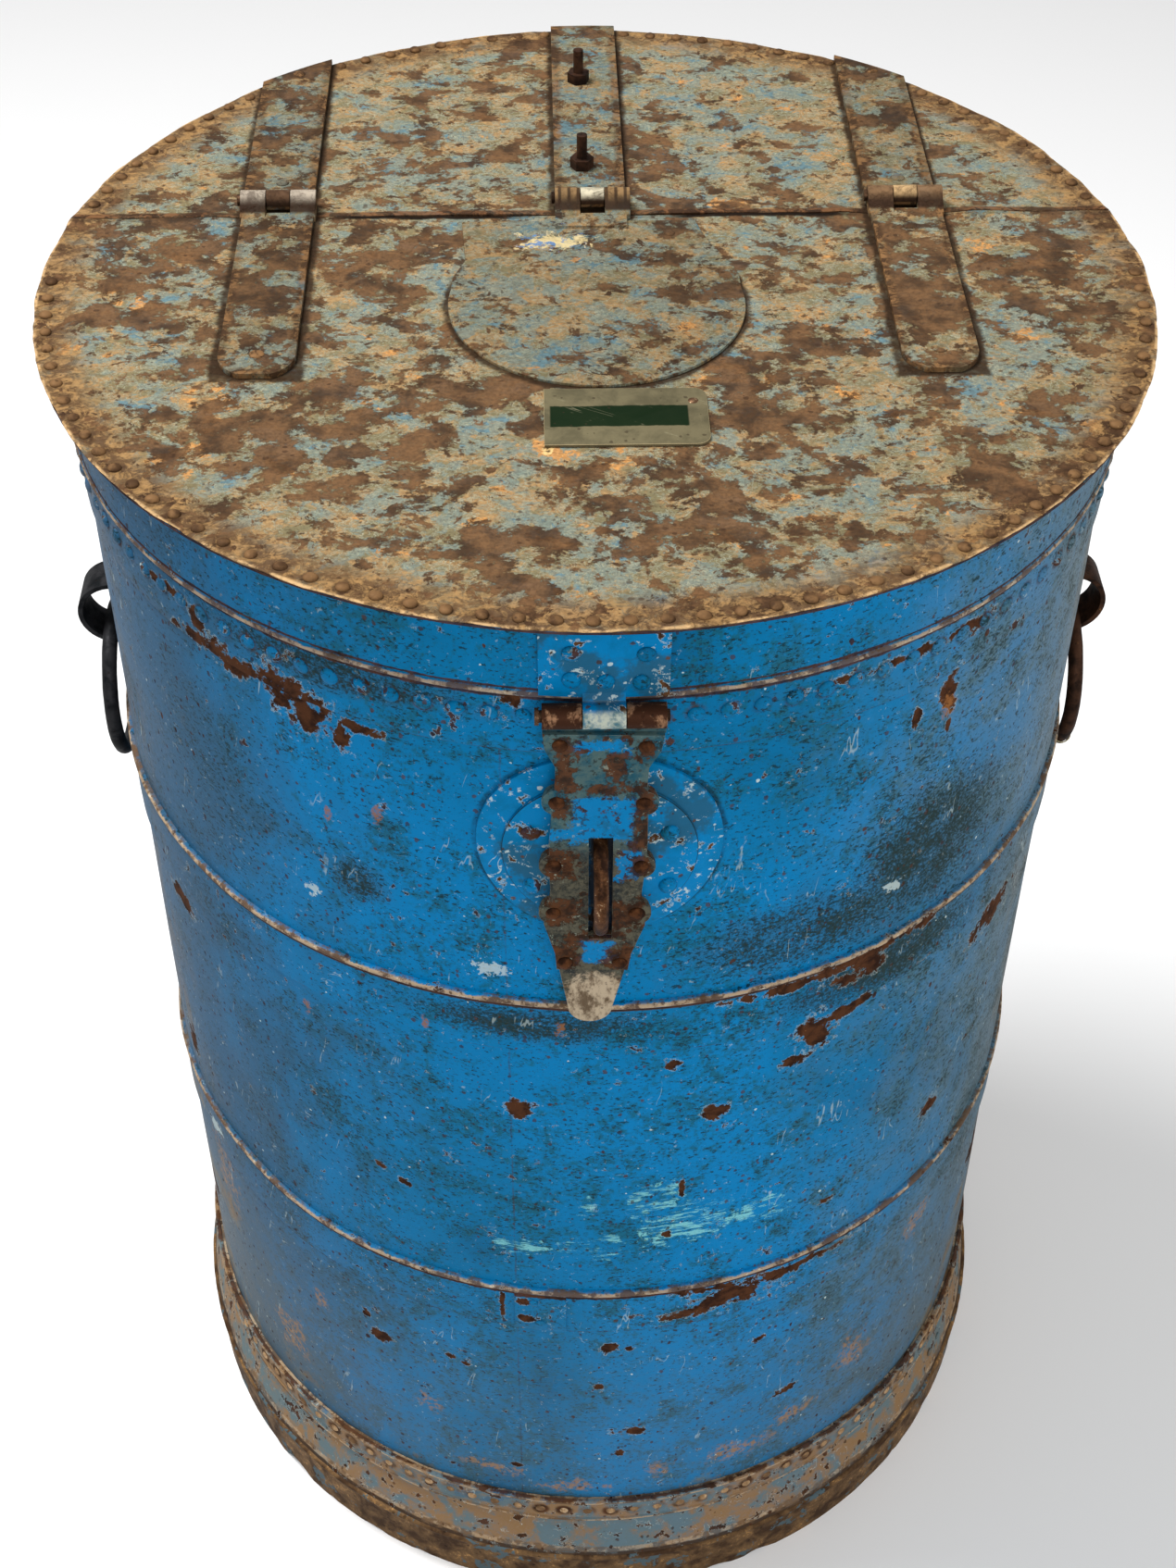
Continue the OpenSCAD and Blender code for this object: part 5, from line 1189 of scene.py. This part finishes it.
rivetRows = [
    ("collar_rivets", "drum", "worn_blue", "blueRivet", "out", 2.0, 0.5),
    ("base_rivets", "drum", "worn_blue", "baseBead", "out", 1.5, 0),
    ("lower_hoop_rivets", "drum", "worn_blue", "blueRivet", "out", 1.5, 0),
    ("base_skirt_rivets", "drum", "worn_blue", "blueRivet", "out", 1.5, 0),
    ("handle_eye_rivets", "drum", "rusty_iron", "iron", "out", 1.8, 0),
    ("staple_plate_rivets", "drum", "worn_blue", "hardware", "out", 2.6, 0),
    ("rear_rim_rivets", "drum", "worn_blue", "rimRivet", (0, 0, 1), 1.8, 0.5),
    ("rear_strap_rivets", "drum", "rusty_iron", "strapRear", (0, 0, 1), 1.2, 0),
    ("lid_rim_rivets", "lid", "worn_blue", "rimRivet", (0, 0, 1), 1.8, 0.5),
    ("lid_strap_rivets", "lid", "rusty_iron", "strapRight", (0, 0, 1), 1.2, 0),
    ("centre_plate_rivets", "lid", "worn_blue", "plate", (0, 0, 1), 2.0, 0),
    ("hasp_hanger_rivets", "lid", "worn_blue", "hardware", (0, -1, 0), 2.2, 0),
    ("hasp_rivets", "hasp", "rusty_iron", "haspIron", (0, -1, 0), 2.0, 0),
]
for number, (node, body, slotName, look, facing, headHigh, tailHigh) in enumerate(rivetRows):
    makeRivets(node.title().replace("_", ""), node, body, slotName, look, facing, headHigh, tailHigh,
        seed=number + 3)
print("rivets made")


base = {"hoopThick": 1.7 * mm, "hoopBead": 1.5 * mm, "hoopUneven": 0.25 * mm, "sheetThick": 2.2 * mm,
        "sheetRows": 10, "sheetUneven": 0.9 * mm, "footBead": 2.2 * mm, "footUneven": 0.5 * mm,
        "eatenHeight": 12 * mm, "eatenLimit": 9 * mm, "keptAngles": (-20, 20, 90, -90, 180)}


def makeBase():
    low, high, bead = baseHoopLow, baseHoopHigh, base["hoopBead"]
    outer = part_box("base_hoop")[1][0] - bead
    inner = outer - base["hoopThick"]
    section = [(inner, low), (outer, low)]
    for centre in (low + 1.6 * mm, high - 1.6 * mm):
        section += arcPoints(outer, centre, bead, bead)
    section += [(outer, high), (inner, high)]
    hoop = revolve("baseHoopStrip", section, uneven=base["hoopUneven"], seed=21, wave=False)
    settle(hoop, "drum", "worn_blue", "base", "base_hoop")

    top, bottom, thick, rows = wallLow, footHigh, base["sheetThick"], base["sheetRows"]
    outside = [(footR + (inner - footR) * i / rows, bottom + (top - bottom) * i / rows) for i in range(
            rows + 1)]
    bandTop = high - 1.2 * mm
    outside += [(inner, top + 8 * mm), (inner - 0.2 * mm, bandTop)]
    inside = [(wallR, bandTop), (wallR, top)]
    inside += [(inner - thick + (footR - inner) * i / 4, top + (bottom - top) * i / 4) for i in range(1, 5)]
    sheet = revolve("flaredSkirt", outside + inside, uneven=base["sheetUneven"], seed=31, wave=False)
    settle(sheet, "drum", "blue_paint", "base", "base_skirt")

    beadZ = footHigh - 2.3 * mm
    face = [(footR, footHigh * i / 8) for i in range(8)]
    section = face + arcPoints(footR, beadZ, base["footBead"], base["footBead"])
    section += [(footR, footHigh), (footR - thick, footHigh), (footR - thick, 0)]
    ring = revolve("footBand", section, uneven=base["footUneven"], seed=41, wave=False)
    wearFoot(ring)
    settle(ring, "drum", "bare_rust", "foot", "foot_ring")


def wearFoot(ring):  # the lower edge is eaten away here and there
    high = base["eatenHeight"]
    for vert in ring.data.vertices:
        angle = math.degrees(math.atan2(vert.co.x, -vert.co.y))
        if vert.co.z < high:
            a = math.radians(angle)
            eaten = max(0.0, noise.noise(Vector((math.sin(a) * 14, math.cos(a) * 14, 3))) - 0.12)
            keep = any(abs((angle - at + 180) % 360 - 180) < 25 for at in base["keptAngles"])
            bitten = min(eaten * (8 if keep else 22) * mm, base["eatenLimit"])
            vert.co.z += bitten * (1 - vert.co.z / high)


makeBase()
print("base made")


def plateGrid(name, centreY, edgeY, front, lipHigh, seed, rings=64):
    side = 1 if front else -1
    corner = math.sqrt(rimR ** 2 - edgeY ** 2)
    start = math.atan2(corner, -edgeY)
    arcSteps, lineSteps = (420, 130) if front else (230, 130)
    if front:
        arc = [-start + 2 * start * i / arcSteps for i in range(arcSteps + 1)]
    else:
        arc = [start + (2 * math.pi - 2 * start) * i / arcSteps for i in range(arcSteps + 1)]
    border = []
    for t in arc:
        bite = noise.noise(Vector((math.sin(t) * 11, math.cos(t) * 11, seed))) + 0.5 * noise.noise(
            Vector((math.sin(t) * 40, math.cos(t) * 40, seed)))
        reach = rimR - max(0.0, 0.55 + bite) * 1.1 * mm
        border.append((reach * math.sin(t), -reach * math.cos(t)))
    lastX = corner if front else -corner
    for i in range(1, lineSteps):
        x = lastX - 2 * lastX * i / lineSteps
        nick = max(0.0, noise.noise(Vector((x * 60, seed, 7)))) * 1.2 * mm
        border.append((x, edgeY - side * nick))

    def level(x, y):
        spot = Vector((x * 14, y * 14, seed * 2.0))
        underStrap = abs(abs(x) - 0.176) < 0.03 or (abs(x) < 0.03 and y > 0.08)
        calm = 0.35 if underStrap or (abs(x) < 0.09 and abs(y + 0.02) < 0.1) else 1.0
        dip = (noise.noise(spot) * 0.7 + noise.noise(spot * 3) * 0.35 - 0.55) * 0.8 * mm * calm
        rimAway = rimR - math.hypot(x, y)
        if rimAway < 22 * mm:
            dip += noise.noise(Vector((x * 30, y * 30, seed))) * 0.5 * mm
        away = abs(y - edgeY)
        beside = (x - 0.06 if x > 0 else -x - 0.077) if front else abs(x) - 0.026
        under = min(abs(abs(x) - 0.176) - 0.026, beside)
        if away < 7 * mm and under > 0:
            rise = (0.6 + 0.8 * noise.noise(Vector((x * 25, seed, 1)))) * lipHigh
            dip += rise * min(1.0, under / (8 * mm)) * (1 - (away / (7 * mm)) ** 1.4)
        return topZ + dip

    fractions = [k / rings for k in range(rings)] + [0.993, 1.0]
    verts, faces = [(0, centreY, level(0, centreY))], []
    n = len(border)
    for f in fractions[1:]:
        for x, y in border:
            px, py = x * f, centreY + (y - centreY) * f
            verts.append((px, py, level(px, py) - (0.5 * mm if f == 1.0 else 0)))
    verts += [(x * 0.997, centreY + (y - centreY) * 0.997, topZ - 2 * mm) for x, y in border]
    verts.append((0, centreY, topZ - 2 * mm))
    for i in range(n):
        j = (i + 1) % n
        faces.append((0, 1 + i, 1 + j))
        for k in range(len(fractions) - 1):
            one, two = 1 + k * n, 1 + (k + 1) * n
            faces.append((one + i, two + i, two + j, one + j))
        last = 1 + (len(fractions) - 1) * n
        faces.append((last + j, last + i, len(verts) - 1))
    return makeObject(name, verts, faces)


settle(plateGrid("lidSheet", -0.06, lidEdgeY, True, 1.8 * mm, 3), "lid", "patina_top", "top", "lid_plate")
settle(plateGrid("rearSheet", 0.16, rearEdgeY, False, 1.4 * mm, 8, 44), "drum", "patina_top", "rearTop",
    "rear_top_plate")
print("top plates made")


def makeSkirt():
    inner = wallR + 1.2 * mm
    outer = inner + 1.5 * mm
    flange = rimR - 1.4 * mm
    endAngle = math.degrees(math.acos(-skirtEndY / outer))
    high = drop(2)
    rows = 16
    section = [(inner, skirtLow + 2.6 * mm), (inner, high), (flange, high), (flange, high - 1.5 * mm),
        (outer + 2.5 * mm, high - 1.6 * mm), (outer + 0.7 * mm, high - 2.4 * mm), (outer, high - 4 * mm)]
    section += [(outer, high - 4 * mm - (high - 4 * mm - skirtLow - 4.6 * mm) * i / rows) for i in range(1,
            rows + 1)]
    wireZ, wireR = skirtLow + 2 * mm, 1.9 * mm
    section += arcPoints(outer - 0.5 * mm, wireZ, wireR, wireR, 70, -230, 10)
    made = revolve("skirtStrip", section, (-endAngle, endAngle), 260, 0.35 * mm, 51, False)
    settle(made, "lid", "blue_paint", "skirt", "lid_skirt")


makeSkirt()
print("skirt made")


def wornCopy(node, body, slotName, look, soft):  # flat ironwork: the CAD outline, its edges worn round
    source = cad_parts[node]
    work = bmesh.new()
    work.from_mesh(source.data)
    layer = work.faces.layers.float.new("edge")
    bmesh.ops.remove_doubles(work, verts=work.verts, dist=1e-5)
    bmesh.ops.dissolve_limit(work, angle_limit=math.radians(1.5), verts=work.verts, edges=work.edges)
    bend = math.radians(30)
    sharp = [edge for edge in work.edges if len(edge.link_faces) == 2 and edge.calc_face_angle(0) > bend]
    made = bmesh.ops.bevel(work, geom=sharp, offset=soft * mm, segments=2, profile=0.6, affect="EDGES",
        clamp_overlap=True)
    for face in made["faces"]:
        face[layer] = 1.0
    mesh = bpy.data.meshes.new(node + "Worn")
    bmesh.ops.recalc_face_normals(work, faces=work.faces)
    work.to_mesh(mesh)
    work.free()
    shadeSmooth(mesh, 40)
    settle(addObject(node + "Worn", mesh), body, slotName, look, node)


for node, body, slotName, look, soft in [
        ("rear_strap_left", "drum", "patina_top", "strapRearLeft", 0.7),
        ("rear_strap_middle", "drum", "patina_top", "strapRear", 0.7),
        ("rear_strap_right", "drum", "patina_top", "strapRearRight", 0.7),
        ("lid_strap_left", "lid", "patina_top", "strapLeft", 0.7),
        ("lid_strap_right", "lid", "patina_top", "strapRight", 0.7),
        ("centre_plate", "lid", "patina_top", "plate", 0.4),
        ("tag_plate", "lid", "tag_metal", "tag", 0.3),
        ("hasp_hanger", "lid", "blue_paint", "hanger", 0.7),
        ("hasp_strap", "hasp", "rusty_iron", "haspTip", 0.8),
        ("hasp_overlay", "hasp", "blue_paint", "haspPaint", 0.8),
        ("staple_plate_outer", "drum", "blue_paint", "stapleDisc", 0.5),
        ("staple_plate_inner", "drum", "blue_paint", "stapleDisc", 0.5),
        ("handle_eye_left", "drum", "rusty_iron", "ironBlack", 0.6),
        ("handle_eye_right", "drum", "rusty_iron", "iron", 0.6),
        ("staple", "drum", "rusty_iron", "staple", 0.3)]:
    wornCopy(node, body, slotName, look, soft)
print("ironwork made")


ringBar = {"around": 128, "across": 16, "size": 0.95, "beaten": 0.06}


def hammeredRing(node, body, look, seed):
    low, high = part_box(node)
    bar = (high[0] - low[0]) / 2
    centre = middle(node)
    major = (high[2] - low[2]) / 2 - bar
    around, across = ringBar["around"], ringBar["across"]
    verts, faces = [], []
    for i in range(around):
        a = 2 * math.pi * i / around
        for j in range(across):
            b = 2 * math.pi * j / across
            broad = noise.noise(Vector((math.cos(a) * 4, math.sin(a) * 4, seed)))
            fine = noise.noise(Vector((math.cos(a) * 14, math.sin(a) * 14 + b, seed)))
            beat = broad * 0.4 + fine * 0.25
            size = bar * (ringBar["size"] - ringBar["beaten"] * (0.5 + beat))
            reach = major + size * math.cos(b)
            verts.append((centre.x + size * math.sin(b), centre.y + reach * math.cos(a),
                    centre.z + reach * math.sin(a)))
    for i in range(around):
        for j in range(across):
            k, l = (i + 1) % around, (j + 1) % across
            faces.append((i * across + j, i * across + l, k * across + l, k * across + j))
    settle(makeObject(node + "Bar", verts, faces, 60), body, "rusty_iron", look, node)


hammeredRing("ring_left", "left_ring", "ironBlack", 4)
hammeredRing("ring_right", "right_ring", "iron", 9)

# CAD nodes that keep their own shape
for node, look in {"strap_bolts": "iron", "strap_nuts": "iron", "hinge_pins": "pinIron",
    "tag_pin": "pinIron", "hasp_pin": "pinIron", "bottom_head": "inside", "rear_rim_angle": "skirt",
    "ring_binding": "binding"}.items():
    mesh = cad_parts[node].data
    mesh.materials.clear()
    mesh.materials.append(finish[look])
print("CAD nodes finished")


studio = {
    "floorHalf": 7.0,
    "skyLight": 0.34,
    "lens": 52.07,
    "cameraPlace": (-0.0309, -1.0788, topZ + 0.6442),
    "cameraForward": (0.0190, 0.7258, -0.6876),
    "cameraSide": (0.99966, -0.02618, 0.0),
    "cameraRoll": 0.0051,
    "lamps": [  # name, place, target, width, power
        ("keyLight", (-1.2, 0.3, 3.3), (0, 0, 0.5), 1.3, 112),
        ("frontLight", (0.3, -3.4, 2.2), (0, 0, 0.5), 2.2, 58),
        ("sideLight", (2.8, -0.6, 2.0), (0, 0, 0.6), 2.0, 25)],
}


def makeFloor():  # a plain pale floor, paler where the camera sees it
    made, tree, shader, place = startMaterial("floorFinish")
    seen = addNode(tree, "ShaderNodeLightPath").outputs
    direct = seen["Is Camera Ray"]
    cloudy = noiseAt(tree, place, 3.0, 2.0)
    plain = mixColour(tree, cloudy, rgb(206, 206, 206), rgb(212, 212, 212))
    white = mixColour(tree, cloudy, (0.98, 0.98, 0.98), (0.97, 0.97, 0.97))
    fillInputs(tree, shader, {"Base Color": mixColour(tree, direct, plain, white), "Roughness": 0.9,
                              "Specular IOR Level": 0.0})
    mesh = bpy.data.meshes.new("studioFloor")
    half = studio["floorHalf"]
    mesh.from_pydata([(-half, -half, 0), (half, -half, 0), (half, half, 0), (-half, half, 0)], [],
        [(0, 1, 2, 3)])
    mesh.materials.append(made)
    addObject("studioFloor", mesh)


def makeLight(name, place, target, size, power):
    lamp = bpy.data.lights.new(name, "AREA")
    lamp.shape, lamp.size, lamp.energy = "DISK", size, power
    made = addObject(name, lamp)
    made.location = place
    made.rotation_euler = (Vector(target) - Vector(place)).to_track_quat("-Z", "Y").to_euler()


def makeWorld():
    world = bpy.data.worlds.new("studio")
    bpy.context.scene.world = world
    world.use_nodes = True
    world.node_tree.nodes["Background"].inputs["Color"].default_value = (1, 1, 1, 1)
    world.node_tree.nodes["Background"].inputs["Strength"].default_value = studio["skyLight"]


def makeCamera():
    lens = bpy.data.cameras.new("view")
    lens.sensor_width, lens.lens = 36, studio["lens"]
    seen = bpy.data.objects.new("view", lens)
    forward = Vector(studio["cameraForward"]).normalized()
    side = Vector(studio["cameraSide"])
    side = (side - forward * side.dot(forward)).normalized()
    above = side.cross(forward)
    roll = studio["cameraRoll"]
    right = side * math.cos(roll) + above * math.sin(roll)
    up = above * math.cos(roll) - side * math.sin(roll)
    place = studio["cameraPlace"]
    rows = [(right[i], up[i], -forward[i], place[i]) for i in range(3)]
    seen.matrix_world = Matrix((*rows, (0, 0, 0, 1)))
    bpy.context.scene.collection.objects.link(seen)
    bpy.context.scene.camera = seen


makeFloor()
makeWorld()
for name, place, target, size, power in studio["lamps"]:
    makeLight(name, place, target, size, power)
makeCamera()
bpy.context.scene.view_settings.view_transform = "Standard"
